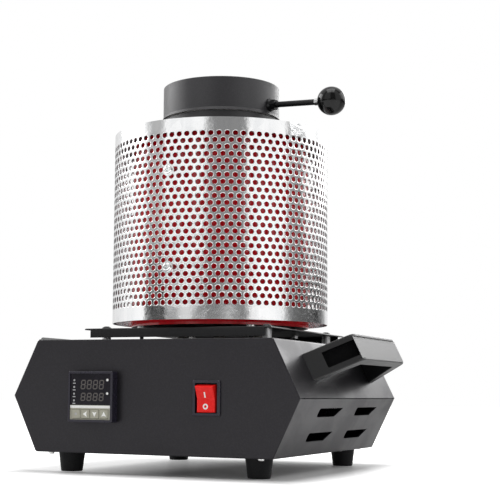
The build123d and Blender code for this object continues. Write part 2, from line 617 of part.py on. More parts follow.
def support_plate():
    """Plate with flanges turned down in front and behind, notched at the corners and open at the sides."""
    drop = PLATE_FLANGE - PLATE_SHEET
    plate = block(0, AXIS_Y, PLATE_BOTTOM_Z, PLATE_WIDTH, PLATE_DEPTH, PLATE_FLANGE)
    plate -= block(0, AXIS_Y, PLATE_BOTTOM_Z, 2 * PLATE_WIDTH, PLATE_DEPTH - 2 * PLATE_SHEET, drop)
    edges = plate.edges().filter_by(lambda e: e.center().Z > PLATE_TOP_Z - 0.01)
    plate = fillet(edges, PLATE_SHEET * 0.8)
    for sx in (-1, 1):
        for sy in (-1, 1):
            plate -= block(sx * PLATE_WIDTH / 2, AXIS_Y + sy * PLATE_DEPTH / 2, PLATE_BOTTOM_Z,
                           2 * PLATE_NOTCH, 2 * PLATE_NOTCH, drop)
    for x, y in STANDOFF_PLACES:
        plate -= rod(x, y, PLATE_BOTTOM_Z, M5 + HOLE_CLEARANCE, 2 * PLATE_FLANGE)
    for x, y in DRUM_BOLT_PLACES:
        plate -= rod(x, y, PLATE_BOTTOM_Z, M4 + HOLE_CLEARANCE, 2 * PLATE_FLANGE)
    for x, radius in bushing_rows():
        plate -= rod(x, AXIS_Y, PLATE_BOTTOM_Z, radius + BUSHING_WALL + HOLE_CLEARANCE, 2 * PLATE_FLANGE)
    return plate


def plate_standoffs():
    """Bright round spacers between the housing's top and the plate."""
    return group(tube(x, y, TOP_Z, STANDOFF_RADIUS, M5 + HOLE_CLEARANCE, PLATE_UNDER_Z - TOP_Z)
                 for x, y in STANDOFF_PLACES)


def dome_bolts():
    """Dome-head bolts: four down through the plate's corners, four down from the drum's floor through it."""
    corner_length = PLATE_TOP_Z - TOP_Z + SHEET + M5_NUT[1] + PAST_NUT
    bolts = [placed(dome_screw(M5, M5_DOME, corner_length), x, y, PLATE_TOP_Z, (0, 0, 1))
             for x, y in STANDOFF_PLACES]
    drum_length = DRUM_FLOOR_Z - TOP_Z - DRUM_BOLT_GAP
    bolts += [placed(dome_screw(M4, M4_DOME, drum_length), x, y, DRUM_FLOOR_Z, (0, 0, 1))
              for x, y in DRUM_BOLT_PLACES]
    return group(bolts)


def nuts_m5():
    """Nuts under the housing's top, on the bolts through the standoffs."""
    return group(placed(hex_nut(M5, M5_NUT), x, y, TOP_Z - SHEET, (0, 0, -1)) for x, y in STANDOFF_PLACES)


def nuts_m4():
    """Nuts on the foot screws, under the plate, behind the guard screws and under the top ring."""
    nuts = [placed(hex_nut(M4, M4_NUT), x, y, TRAY_TOP_Z, (0, 0, 1)) for x, y in FOOT_PLACES]
    nuts += [placed(hex_nut(M4, M4_NUT), x, y, PLATE_UNDER_Z, (0, 0, -1)) for x, y in DRUM_BOLT_PLACES]
    for angle in GUARD_SCREW_ANGLES:
        for height in GUARD_SCREW_HEIGHTS:
            x, y = around_axis(DRUM_RADIUS - DRUM_SHEET - NUT_SEAT, angle)
            inward = (-math.sin(math.radians(angle)), math.cos(math.radians(angle)), 0)
            nuts.append(placed(hex_nut(M4, M4_SLIM_NUT), x, y, height, inward))
    nuts += [placed(hex_nut(M4, M4_NUT), x, y, DRUM_TOP_Z - DRUM_SHEET, (0, 0, -1))
             for x, y in RING_SCREW_PLACES]
    nuts += [placed(hex_nut(M4, M4_NUT), x, y, DRUM_TOP_Z, (0, 0, -1)) for x, y in COLLAR_SCREW_PLACES]
    return group(nuts)


def drum_spacers():
    """Bright spacers between the plate and the drum's floor."""
    return group(tube(x, y, PLATE_TOP_Z, DRUM_SPACER_RADIUS, M4 + HOLE_CLEARANCE, DRUM_LIFT)
                 for x, y in DRUM_BOLT_PLACES)


def guard_holes(radius):
    """Cutters for the guard's screws, as radial cylinders from the drum's axis outwards."""
    cutters = []
    for angle in GUARD_SCREW_ANGLES:
        for height in GUARD_SCREW_HEIGHTS:
            x, y = around_axis(DRUM_RADIUS + 10.0, angle)
            outward = (math.sin(math.radians(angle)), -math.cos(math.radians(angle)), 0)
            cutters.append(placed(Cylinder(radius, 50.0), x, y, height, outward))
    return cutters


def drum_shell():
    """Red drum wall with an inward flange at its top."""
    shell = tube(0, AXIS_Y, DRUM_Z, DRUM_RADIUS, DRUM_RADIUS - DRUM_SHEET, DRUM_HEIGHT)
    shell += tube(0, AXIS_Y, DRUM_TOP_Z - DRUM_SHEET, DRUM_RADIUS - DRUM_SHEET / 2, DRUM_RADIUS - RIM_FLANGE,
                  DRUM_SHEET)
    for cutter in guard_holes(M4 + HOLE_CLEARANCE):
        shell -= cutter
    for x, y in RING_SCREW_PLACES:
        shell -= rod(x, y, DRUM_TOP_Z - 3, M4 + HOLE_CLEARANCE, 6)
    return shell


def drum_floor():
    """Disc that closes the drum's underside."""
    floor = rod(0, AXIS_Y, DRUM_Z, DRUM_RADIUS - DRUM_SHEET, PLATE_SHEET)
    for x, y in DRUM_BOLT_PLACES:
        floor -= rod(x, y, DRUM_Z - 1, M4 + HOLE_CLEARANCE, 2 + PLATE_SHEET)
    for x, radius in bushing_rows():
        floor -= rod(x, AXIS_Y, DRUM_Z - 1, radius + BUSHING_WALL + HOLE_CLEARANCE, 2 + PLATE_SHEET)
    return floor


def drum_lining():
    """Ceramic fibre between the heating element and the drum wall, pocketed over the floor nuts."""
    outer = DRUM_RADIUS - DRUM_SHEET - LINING_CLEARANCE
    lining = tube(0, AXIS_Y, DRUM_FLOOR_Z, outer, LINING_BORE, LINING_TOP_Z - DRUM_FLOOR_Z)
    for x, y in DRUM_BOLT_PLACES:
        lining -= rod(x, y, DRUM_FLOOR_Z - 1, 6.0, 10.0)
    return lining


def top_ring():
    """Black ring that closes the drum and the space behind the guard."""
    outer = GUARD_RADIUS - GUARD_SHEET - TOP_RING_GAP
    ring = tube(0, AXIS_Y, DRUM_TOP_Z, outer, LINING_BORE, TOP_RING_SHEET)
    for x, y in RING_SCREW_PLACES + COLLAR_SCREW_PLACES:
        ring -= rod(x, y, DRUM_TOP_Z - 2, M4 + HOLE_CLEARANCE, 6)
    return ring


def ring_screws():
    """M4 screws: six hold the top ring on the drum, four hold the collar on the ring."""
    ring_length = TOP_RING_SHEET + DRUM_SHEET + M4_NUT[1] + PAST_NUT
    screws = [placed(pan_screw(M4, M4_HEAD, ring_length), x, y, RING_TOP_Z, (0, 0, 1))
              for x, y in RING_SCREW_PLACES]
    collar_length = COLLAR_SHEET + TOP_RING_SHEET + M4_NUT[1] + PAST_NUT
    screws += [placed(pan_screw(M4, M4_HEAD, collar_length), x, y, RING_TOP_Z + COLLAR_SHEET, (0, 0, 1))
               for x, y in COLLAR_SCREW_PLACES]
    return group(screws)


def mouth_collar():
    """Steel collar round the chamber's mouth, with a foot flange."""
    collar = tube(0, AXIS_Y, RING_TOP_Z, COLLAR_RADIUS, COLLAR_RADIUS - COLLAR_SHEET, COLLAR_HEIGHT)
    collar += tube(0, AXIS_Y, RING_TOP_Z, COLLAR_RADIUS + COLLAR_FLANGE, COLLAR_RADIUS - COLLAR_SHEET / 2,
                   COLLAR_SHEET)
    for x, y in COLLAR_SCREW_PLACES:
        collar -= rod(x, y, RING_TOP_Z - 1, M4 + HOLE_CLEARANCE, 2 + COLLAR_SHEET)
    return collar


def collar_lining():
    """Ceramic fibre between the muffle's top and the collar."""
    return tube(0, AXIS_Y, RING_TOP_Z, COLLAR_RADIUS - COLLAR_SHEET - 0.2, MUFFLE_RADIUS + 0.3,
                MUFFLE_TOP_Z - RING_TOP_Z + 0.7)


# ---- guard ---------------------------------------------------------------------------------------------
def guard_openings():
    """Grid of openings between the guard's screws, each a block through the sheet."""
    width, height = GUARD_OPENING
    step = 360.0 / GUARD_COLUMNS
    rise = (GUARD_HEIGHT - 2 * GUARD_MARGIN) / GUARD_ROWS
    blocks = []
    for column in range(GUARD_COLUMNS):
        angle = GUARD_SEAM_ANGLE + (column + 0.5) * step
        x, y = around_axis(GUARD_RADIUS, angle)
        for row in range(GUARD_ROWS):
            z = GUARD_Z + GUARD_MARGIN + (row + 0.5) * rise
            blocks.append(Pos(x, y, z) * Rot(0, 0, angle) * Box(width, 20 * GUARD_SHEET, height))
    return blocks


def guard():
    """Rolled guard sheet; a coarse grid of openings stands for its 88 by 25 round holes."""
    sheet = tube(0, AXIS_Y, GUARD_Z, GUARD_RADIUS, GUARD_RADIUS - GUARD_SHEET, GUARD_HEIGHT)
    sheet -= guard_openings()
    for cutter in guard_holes(M4 + HOLE_CLEARANCE):
        sheet -= cutter
    return sheet


def guard_spacers():
    """Sleeves that keep the guard off the drum."""
    inner_guard = GUARD_RADIUS - GUARD_SHEET
    length = inner_guard - DRUM_RADIUS
    gap = tube(0, AXIS_Y, GUARD_Z, inner_guard, DRUM_RADIUS, GUARD_HEIGHT)
    spacers = []
    for angle in GUARD_SCREW_ANGLES:
        outward = (math.sin(math.radians(angle)), -math.cos(math.radians(angle)), 0)
        x, y = around_axis(DRUM_RADIUS, angle)
        sleeve = Pos(0, 0, length / 2) * (Cylinder(GUARD_SPACER_RADIUS, length)
                                          - Cylinder(M4 + HOLE_CLEARANCE, length))
        for height in GUARD_SCREW_HEIGHTS:
            spacers.append(placed(sleeve, x, y, height, outward) & gap)
    return group(spacers)


def guard_screws():
    """Shiny pan-head screws with a washer, through the guard, the sleeves and the drum wall."""
    length = GUARD_RADIUS - DRUM_RADIUS + DRUM_SHEET + NUT_SEAT + M4_SLIM_NUT[1] + PAST_NUT
    washer_radius, washer_thickness = GUARD_WASHER
    washer = Pos(0, 0, washer_thickness / 2) * Cylinder(washer_radius, washer_thickness)
    screw = washer + Pos(0, 0, washer_thickness) * pan_screw(M4, GUARD_HEAD, length + washer_thickness)
    screws = []
    for angle in GUARD_SCREW_ANGLES:
        outward = (math.sin(math.radians(angle)), -math.cos(math.radians(angle)), 0)
        x, y = around_axis(GUARD_RADIUS, angle)
        for height in GUARD_SCREW_HEIGHTS:
            screws.append(placed(screw, x, y, height, outward))
    return group(screws)


# ---- hot parts -----------------------------------------------------------------------------------------
def muffle():
    """Ceramic cup whose inside is the melting chamber."""
    cup = rod(0, AXIS_Y, MUFFLE_Z, MUFFLE_RADIUS, MUFFLE_TOP_Z - MUFFLE_Z)
    cup -= rod(0, AXIS_Y, CHAMBER_FLOOR_Z, CHAMBER_RADIUS, CHAMBER_DEPTH)
    return cup


def base_brick():
    """Firebrick that carries the muffle, drilled for the leads and the probe."""
    brick = rod(0, AXIS_Y, DRUM_FLOOR_Z, LINING_BORE - 0.5, MUFFLE_Z - DRUM_FLOOR_Z)
    for x, radius in bushing_rows():
        brick -= rod(x, AXIS_Y, DRUM_FLOOR_Z - 1, radius + 0.1, MUFFLE_Z - DRUM_FLOOR_Z + 2)
    return brick


def element_bend(angle, z, upward):
    """Half ring that joins two neighbouring runs above or below."""
    ring = revolve(Pos(ELEMENT_BEND, 0, 0) * Circle(ELEMENT_WIRE), axis=Axis.Y, revolution_arc=180)
    if (ring.bounding_box().center().Z > 0) != upward:
        ring = mirror(ring, about=Plane.XY)
    x, y = around_axis(ELEMENT_BEND_RING, angle)
    return Pos(x, y, z) * Rot(0, 0, angle) * ring


def heating_element():
    """Resistance wire round the muffle: one closed loop of upright runs and half-round bends."""
    runs = []
    bends = []
    for index in range(ELEMENT_RUNS):
        run_angle = 90 + (index + 0.5) * ELEMENT_STEP
        x, y = around_axis(ELEMENT_RADIUS, run_angle)
        runs.append(rod(x, y, ELEMENT_LOW_Z, ELEMENT_WIRE, ELEMENT_LENGTH))
        upward = index % 2 == 0
        bend_z = ELEMENT_HIGH_Z if upward else ELEMENT_LOW_Z
        bends.append(element_bend(run_angle + ELEMENT_STEP / 2, bend_z, upward))
    return runs[0].fuse(*runs[1:], *bends)


def heater_leads():
    """Stiff leads from the two lowest side bends down into the housing."""
    top_z = ELEMENT_LOW_Z - ELEMENT_BEND - ELEMENT_WIRE - 0.05
    length = top_z - LEAD_END_Z
    return group(rod(x, AXIS_Y, LEAD_END_Z, LEAD_RADIUS, length) for x in (LEFT_LEAD_X, RIGHT_LEAD_X))


def lead_bushings():
    """Ceramic tubes that carry the leads and the probe through plate and housing."""
    return group(tube(x, AXIS_Y, BUSHING_END_Z, radius + BUSHING_WALL, radius, DRUM_FLOOR_Z - BUSHING_END_Z)
                 for x, radius in bushing_rows())


def thermocouple():
    """Sheathed probe that touches the muffle's underside, with its head inside the housing."""
    probe = rod(0, AXIS_Y, PROBE_END_Z, PROBE_RADIUS, MUFFLE_Z - 0.2 - PROBE_END_Z)
    return probe + rod(0, AXIS_Y, PROBE_END_Z, PROBE_HEAD_RADIUS, PROBE_HEAD_LENGTH)


# ---- lid -----------------------------------------------------------------------------------------------
def handle_plane():
    """Plane where the lid's rod leaves the can: z runs along the rod."""
    turn = math.radians(HANDLE_ANGLE)
    droop = math.radians(HANDLE_DROOP)
    origin = (LID_RADIUS * math.cos(turn), AXIS_Y - LID_RADIUS * math.sin(turn), LID_Z + HANDLE_HEIGHT)
    direction = (math.cos(turn) * math.cos(droop), -math.sin(turn) * math.cos(droop), -math.sin(droop))
    return Plane(origin=origin, x_dir=(math.sin(turn), math.cos(turn), 0), z_dir=direction)


def along_rod(shape):
    """Put a shape made along +Z on the rod's line, with z = 0 at the can's wall."""
    return handle_plane().location * shape


def lid_can():
    """Pressed can, open below, slightly flared at its lower edge."""
    profile = Polyline((0, LID_TOP_Z), (LID_RADIUS, LID_TOP_Z), (LID_RADIUS, LID_Z + LID_FLARE_HEIGHT),
                       (LID_RADIUS + LID_FLARE, LID_Z), (LID_RADIUS + LID_FLARE - LID_SHEET, LID_Z),
                       (LID_RADIUS - LID_SHEET, LID_Z + LID_FLARE_HEIGHT), (LID_RADIUS - LID_SHEET,
                       LID_TOP_Z - LID_SHEET), (0, LID_TOP_Z - LID_SHEET), close=True)
    can = revolve(Plane.XZ * make_face(profile), axis=Axis.Z)
    rim = can.edges().filter_by(GeomType.CIRCLE).sort_by(Axis.Z)[-1]
    can = Pos(0, AXIS_Y, 0) * fillet(rim, 1.0)
    return can - along_rod(Cylinder(ROD_RADIUS + 0.3, 12.0))


def lid_lining():
    """Insulating disc inside the can, stepped down into the collar, pocketed for the rod's nut."""
    plug_radius = COLLAR_RADIUS - COLLAR_SHEET - LID_PLUG_CLEARANCE
    can_bore = LID_RADIUS - LID_SHEET - 0.2
    disc = rod(0, AXIS_Y, LID_Z, can_bore, LID_HEIGHT - LID_SHEET)
    disc += rod(0, AXIS_Y, LID_Z - LID_PLUG_DROP, plug_radius, LID_PLUG_DROP + 1.0)
    return disc - along_rod(Pos(0, 0, -7.0) * Cylinder(7.0, 18.0))


def lid_handle_nuts():
    """One nut inside the can, one outside on the washer."""
    outside = Pos(0, 0, LID_WASHER_THICKNESS + 0.5) * hex_nut(ROD_RADIUS, LID_NUT)
    inside = Pos(0, 0, -LID_SHEET - 1.0 - LID_NUT[1]) * hex_nut(ROD_RADIUS, LID_NUT)
    return group([along_rod(outside), along_rod(inside)])


def lid_handle_washer():
    """Cupped washer between the can and the outer nut."""
    cup = Pos(0, 0, 0.5 + LID_WASHER_THICKNESS / 2) * Cone(LID_WASHER_RADIUS, LID_WASHER_RADIUS - 1.6,
                                                          LID_WASHER_THICKNESS)
    return along_rod(cup - Cylinder(ROD_RADIUS + HOLE_CLEARANCE, 20.0))


def lid_rod():
    """Black rod from inside the can into the knob."""
    end = KNOB_REACH - KNOB_RADIUS + KNOB_SOCKET_DEPTH - 1.0
    return along_rod(Pos(0, 0, (end - ROD_INSIDE) / 2) * Cylinder(ROD_RADIUS, end + ROD_INSIDE))


def knob_ferrule():
    """Bright sleeve on the rod's end, half in the knob."""
    start = KNOB_REACH - KNOB_RADIUS - FERRULE_SHOWN
    length = FERRULE_SHOWN + KNOB_SOCKET_DEPTH - 2.0
    outer = ROD_RADIUS + 0.05 + FERRULE_WALL
    sleeve = Cylinder(outer, length) - Cylinder(ROD_RADIUS + 0.05, length)
    return along_rod(Pos(0, 0, start + length / 2) * sleeve)


def ball_knob():
    """Ball with a blind socket for the rod and its sleeve."""
    ball = Pos(0, 0, KNOB_REACH) * Sphere(KNOB_RADIUS)
    socket_end = KNOB_REACH - KNOB_RADIUS + KNOB_SOCKET_DEPTH
    socket = Pos(0, 0, socket_end - KNOB_SOCKET_DEPTH) * Cylinder(ROD_RADIUS + FERRULE_WALL + 0.1,
                                                                  2 * KNOB_SOCKET_DEPTH)
    return along_rod(ball - socket)


# ---- controller ----------------------------------------------------------------------------------------
CONTROLLER_FRONT_Y = FRONT_Y - CONTROLLER_PROUD
FACE_Y = CONTROLLER_FRONT_Y + FACE_RECESS
FACE_WIDTH = CONTROLLER_FACE - 2 * CONTROLLER_RIM
WINDOW_TOP_Z = CONTROL_Z + CONTROLLER_FACE / 2 - CONTROLLER_RIM
WINDOW_Z = WINDOW_TOP_Z - WINDOW_HEIGHT
FASCIA_Z = WINDOW_Z - STRIPE_HEIGHT - FASCIA_HEIGHT
BOARD_Y = FACE_Y + KEY_LENGTH - KEY_PROUD + KEY_BOARD_GAP


def controller_bezel():
    """Square moulded frame in front of the panel, open in the middle, solid below the fascia."""
    half = CONTROLLER_FACE / 2
    frame = block(CONTROLLER_X, (CONTROLLER_FRONT_Y + FRONT_Y) / 2, CONTROL_Z - half, CONTROLLER_FACE,
                  CONTROLLER_PROUD, CONTROLLER_FACE)
    frame = fillet(frame.edges().filter_by(Axis.Y), 1.2)
    frame = chamfer(frame.faces().sort_by(Axis.Y)[0].edges(), 0.5)
    return frame - block(CONTROLLER_X, FRONT_Y - CONTROLLER_PROUD / 2, FASCIA_Z, FACE_WIDTH,
                         2 * CONTROLLER_PROUD, WINDOW_TOP_Z - FASCIA_Z)


def controller_case():
    """Square case behind the panel, open in front."""
    half = CONTROLLER_CASE / 2
    case = block(CONTROLLER_X, FRONT_Y + CONTROLLER_DEPTH / 2, CONTROL_Z - half, CONTROLLER_CASE,
                 CONTROLLER_DEPTH, CONTROLLER_CASE)
    inner = CONTROLLER_CASE - 2 * CASE_WALL
    depth = CONTROLLER_DEPTH - CASE_WALL
    return case - block(CONTROLLER_X, FRONT_Y + depth / 2, CONTROL_Z - inner / 2, inner, depth, inner)


def display_window():
    """Dark clear window over the digits."""
    return block(CONTROLLER_X, FACE_Y + WINDOW_THICKNESS / 2, WINDOW_Z, FACE_WIDTH, WINDOW_THICKNESS,
                 WINDOW_HEIGHT)


def key_fascia():
    """Light stripe and pale strip with four openings for the keys."""
    plate = block(CONTROLLER_X, FACE_Y + FASCIA_THICKNESS / 2, FASCIA_Z, FACE_WIDTH, FASCIA_THICKNESS,
                  FASCIA_HEIGHT + STRIPE_HEIGHT)
    for x in key_xs():
        z = FASCIA_Z + FASCIA_HEIGHT / 2 - KEY_HEIGHT / 2 - KEY_CLEARANCE
        plate -= block(x, FACE_Y, z, KEY_WIDTH + 2 * KEY_CLEARANCE, 4 * FASCIA_THICKNESS,
                       KEY_HEIGHT + 2 * KEY_CLEARANCE)
    return plate


def key_xs():
    """Middle of each key, left to right."""
    return [CONTROLLER_X + (index - 1.5) * KEY_PITCH for index in range(len(KEY_NAMES))]


def controller_key(x):
    """One key cap; it slides back in its opening."""
    z = FASCIA_Z + FASCIA_HEIGHT / 2 - KEY_HEIGHT / 2
    key = block(x, FACE_Y - KEY_PROUD + KEY_LENGTH / 2, z, KEY_WIDTH, KEY_LENGTH, KEY_HEIGHT)
    key = fillet(key.edges().filter_by(Axis.Y), 0.8)
    return chamfer(key.faces().sort_by(Axis.Y)[0].edges(), 0.3)


def controller_boards():
    """Front board with both digit blocks and six lamps, and the long board behind it, as one assembly."""
    inner = CONTROLLER_CASE - 2 * CASE_WALL - 2 * BOARD_FIT
    bottom_z = FASCIA_Z + BOARD_FIT
    front = block(CONTROLLER_X, BOARD_Y + BOARD_THICKNESS / 2, bottom_z, inner, BOARD_THICKNESS,
                  WINDOW_TOP_Z - BOARD_FIT - bottom_z)
    block_front_y = FACE_Y + WINDOW_THICKNESS + WINDOW_FIT
    block_depth = BOARD_Y - block_front_y
    block_width, block_height = DIGIT_BLOCK
    for drop in DIGIT_DROPS:
        front += block(CONTROLLER_X + DIGIT_SHIFT, block_front_y + block_depth / 2,
                       WINDOW_TOP_Z - drop - block_height / 2, block_width, block_depth, block_height)
    lamp = Pos(0, 0, block_depth / 2) * Cylinder(LAMP_RADIUS, block_depth)
    for x, z in lamp_places():
        front += placed(lamp, x, BOARD_Y, z, (0, -1, 0))
    length = CONTROLLER_DEPTH - CASE_WALL - 0.5 - (BOARD_Y + BOARD_THICKNESS - FRONT_Y)
    start_y = BOARD_Y + BOARD_THICKNESS
    return front + block(CONTROLLER_X, start_y + length / 2, CONTROL_Z - 8.0, inner, length, BOARD_THICKNESS)


def lamp_places():
    """Four status lamps in a column at the left, two more at the right."""
    left = CONTROLLER_X - LAMP_LEFT
    right = CONTROLLER_X + LAMP_RIGHT
    column = [(left, WINDOW_TOP_Z - LAMP_COLUMN_DROP - LAMP_PITCH * index) for index in range(4)]
    return column + [(right, WINDOW_TOP_Z - drop) for drop in LAMP_RIGHT_DROPS]


# ---- switch --------------------------------------------------------------------------------------------
def switch_body():
    """Switch frame in front of the panel and its body behind it, open in front for the rocker."""
    half = SWITCH_HEIGHT / 2
    frame = block(SWITCH_X, FRONT_Y - SWITCH_FRAME / 2, CONTROL_Z - half, SWITCH_WIDTH, SWITCH_FRAME,
                  SWITCH_HEIGHT)
    frame = fillet(frame.edges().filter_by(Axis.Y), 1.5)
    frame = chamfer(frame.faces().sort_by(Axis.Y)[0].edges(), 0.6)
    width, height, depth = SWITCH_BODY
    frame += block(SWITCH_X, FRONT_Y + depth / 2, CONTROL_Z - height / 2, width, depth, height)
    hollow_depth = SWITCH_FRAME + depth - 8.0
    hollow_y = FRONT_Y - SWITCH_FRAME + hollow_depth / 2
    frame -= block(SWITCH_X, hollow_y, CONTROL_Z - SWITCH_OPENING[1] / 2, SWITCH_OPENING[0], hollow_depth,
                   SWITCH_OPENING[1])
    for z in (-8.0, 0.0, 8.0):
        frame += block(SWITCH_X, FRONT_Y + depth + 4.0, CONTROL_Z + z - 0.4, 6.3, 8.5, 0.8)
    return frame


def rocker_button():
    """Rocker with a shallow V face, standing at O: its upper end is out."""
    rise = ROCKER_HALF * math.tan(math.radians(ROCKER_TILT))
    dip = ROCKER_DIP + ROCKER_PIVOT_DEPTH
    tail = ROCKER_TAIL
    outline = [(-tail, -ROCKER_HALF + 1.5), (-tail + 2, -ROCKER_HALF), (dip + rise, -ROCKER_HALF), (dip, 0),
               (dip + rise, ROCKER_HALF), (-tail + 2, ROCKER_HALF), (-tail, ROCKER_HALF - 1.5)]
    face = make_face(Polyline(*outline, close=True))
    profile = Plane(origin=(-ROCKER_WIDTH / 2, 0, 0), x_dir=(0, -1, 0), z_dir=(-1, 0, 0))
    cap = extrude(profile * face, amount=-ROCKER_WIDTH)
    cap = fillet(cap.edges().filter_by(lambda e: e.center().Y < -dip + 0.5 and e.length > 5), ROCKER_EDGE)
    turned = Rot(ROCKER_TILT, 0, 0) * cap
    return Pos(SWITCH_X, FRONT_Y + ROCKER_PIVOT_DEPTH, CONTROL_Z) * turned


# ---- mains inlet and inner parts -------------------------------------------------------------------------
def inlet_screw_xs():
    """The inlet's two screws."""
    return [INLET_X - INLET_SCREW_SPACING / 2, INLET_X + INLET_SCREW_SPACING / 2]


def mains_inlet():
    """Appliance inlet: flange outside the rear panel, body inside, socket open to the rear."""
    width, height, thick = INLET_FLANGE
    flange = block(INLET_X, REAR_Y + thick / 2, INLET_Z - height / 2, width, thick, height)
    flange = fillet(flange.edges().filter_by(Axis.Y), 4.0)
    body_w, body_h, body_d = INLET_BODY
    inlet = flange + block(INLET_X, REAR_Y - body_d / 2, INLET_Z - body_h / 2, body_w, body_d, body_h)
    socket_w, socket_h, socket_d = INLET_SOCKET
    mouth = REAR_Y + thick
    counterbore = Cylinder(M3_HEAD[0] + HOLE_CLEARANCE, 2 * INLET_COUNTERBORE)
    inlet -= block(INLET_X, mouth - socket_d / 2, INLET_Z - socket_h / 2, socket_w, socket_d, socket_h)
    for x in inlet_screw_xs():
        inlet -= placed(Cylinder(M3 + HOLE_CLEARANCE, 20.0), x, REAR_Y, INLET_Z, (0, 1, 0))
        inlet -= placed(counterbore, x, mouth, INLET_Z, (0, 1, 0))
    for x, z in pin_places():
        inlet -= block(x, REAR_Y, z - PIN_SIZE[1] / 2, PIN_SIZE[0], 4 * INLET_BODY[2], PIN_SIZE[1])
    return inlet


def pin_places():
    """Line, neutral and the raised earth pin."""
    return [(INLET_X - PIN_SPREAD, INLET_Z - PIN_OFFSET), (INLET_X + PIN_SPREAD, INLET_Z - PIN_OFFSET),
            (INLET_X, INLET_Z + PIN_OFFSET)]


def inlet_pins():
    """Three flat pins through the inlet's inner wall."""
    start = REAR_Y + INLET_FLANGE[2] - 3.5
    pins = []
    for x, z in pin_places():
        length = PIN_SIZE[2] + 7.0
        pins.append(block(x, start - length / 2, z - PIN_SIZE[1] / 2, PIN_SIZE[0], length, PIN_SIZE[1]))
    return group(pins)


def relay_screw_places():
    """The relay's two screws."""
    return [(RELAY_X, RELAY_Y - RELAY_SIZE[1] / 2 + 6), (RELAY_X, RELAY_Y + RELAY_SIZE[1] / 2 - 6)]


def solid_state_relay():
    """Relay block on the tray, slotted at both ends for its screws."""
    width, depth, height = RELAY_SIZE
    relay = block(RELAY_X, RELAY_Y, TRAY_TOP_Z, width, depth, height)
    relay = fillet(relay.edges().filter_by(Axis.Z), 2.0)
    for x, y in relay_screw_places():
        relay -= block(x, y, TRAY_TOP_Z + RELAY_EAR, 12.0, 13.0, height)
        relay -= rod(x, y, TRAY_TOP_Z - 1, M4 + HOLE_CLEARANCE, 6)
    return relay


def terminal_screw_places():
    """The terminal block's two screws."""
    return [(TERMINAL_X - TERMINAL_SIZE[0] / 2 + 5, TERMINAL_Y),
            (TERMINAL_X + TERMINAL_SIZE[0] / 2 - 5, TERMINAL_Y)]


def terminal_block():
    """Ceramic terminal block on the tray: low ears, a raised middle with wire holes."""
    width, depth, height = TERMINAL_SIZE
    y = TERMINAL_Y
    body = block(TERMINAL_X, y, TRAY_TOP_Z, width, depth, TERMINAL_EAR)
    body += block(TERMINAL_X, y, TRAY_TOP_Z, width - 20.0, depth, height)
    for dx in (-6.5, 6.5):
        hole = placed(Cylinder(2.2, depth + 2), TERMINAL_X + dx, y, TRAY_TOP_Z + height * 0.55, (0, 1, 0))
        body -= hole
    for x, screw_y in terminal_screw_places():
        body -= rod(x, screw_y, TRAY_TOP_Z - 1, M4 + HOLE_CLEARANCE, 8)
    return body


def tray_screws():
    """M4 screws down into the tray through the relay and the terminal block, and the earth stud."""
    screws = []
    for ear, places in ((RELAY_EAR, relay_screw_places()), (TERMINAL_EAR, terminal_screw_places())):
        screw = pan_screw(M4, M4_HEAD, ear + SHEET + PAST_NUT)
        screws += [placed(screw, x, y, TRAY_TOP_Z + ear, (0, 0, 1)) for x, y in places]
    screws.append(placed(pan_screw(M4, M4_HEAD, STUD_LENGTH), STUD_X, STUD_Y, FLOOR_Z, (0, 0, -1)))
    return group(screws)


def wire(points, radius, bend):
    """Insulated wire along straight runs joined by tangent arcs."""
    path = FilletPolyline(*points, radius=bend)
    section = Plane(origin=path @ 0, z_dir=path % 0) * Circle(radius)
    return sweep(section, path=path)


CRIMP_LENGTH = 16.0
CRIMP_WALL = 1.4
CRIMP_GRIP = 4.0            # length of heater lead inside a crimp


def lead_crimps():
    """Crimp sleeves on the lower ends of the heater leads."""
    crimps = []
    bottom_z = LEAD_END_Z + CRIMP_GRIP - CRIMP_LENGTH
    for x in (RIGHT_LEAD_X, LEFT_LEAD_X):
        sleeve = rod(x, AXIS_Y, bottom_z, LEAD_RADIUS + CRIMP_WALL, CRIMP_LENGTH)
        crimps.append(sleeve - rod(x, AXIS_Y, LEAD_END_Z - 0.1, LEAD_RADIUS + 0.05, CRIMP_LENGTH))
    return crimps


def lead_wires():
    """Wires from the crimps to the terminal block and to the relay."""
    terminal_back = TERMINAL_Y + TERMINAL_SIZE[1] / 2
    terminal_z = TRAY_TOP_Z + TERMINAL_SIZE[2] * 0.55
    start_z = LEAD_END_Z + CRIMP_GRIP - CRIMP_LENGTH - 0.1
    to_terminal = wire([(RIGHT_LEAD_X, AXIS_Y, start_z), (RIGHT_LEAD_X, AXIS_Y, start_z - 16),
                        (TERMINAL_X - 6.5, terminal_back + 26, terminal_z),
                        (TERMINAL_X - 6.5, terminal_back - 4, terminal_z)], WIRE_RADIUS, 7.0)
    relay_front = RELAY_Y - RELAY_SIZE[1] / 2
    to_relay = wire([(LEFT_LEAD_X, AXIS_Y, start_z), (LEFT_LEAD_X, AXIS_Y, start_z - 24),
                     (RELAY_X - 16, relay_front - 26, TRAY_TOP_Z + 14),
                     (RELAY_X - 16, relay_front - 0.3, TRAY_TOP_Z + 14)], WIRE_RADIUS, 7.0)
    return [to_terminal, to_relay]


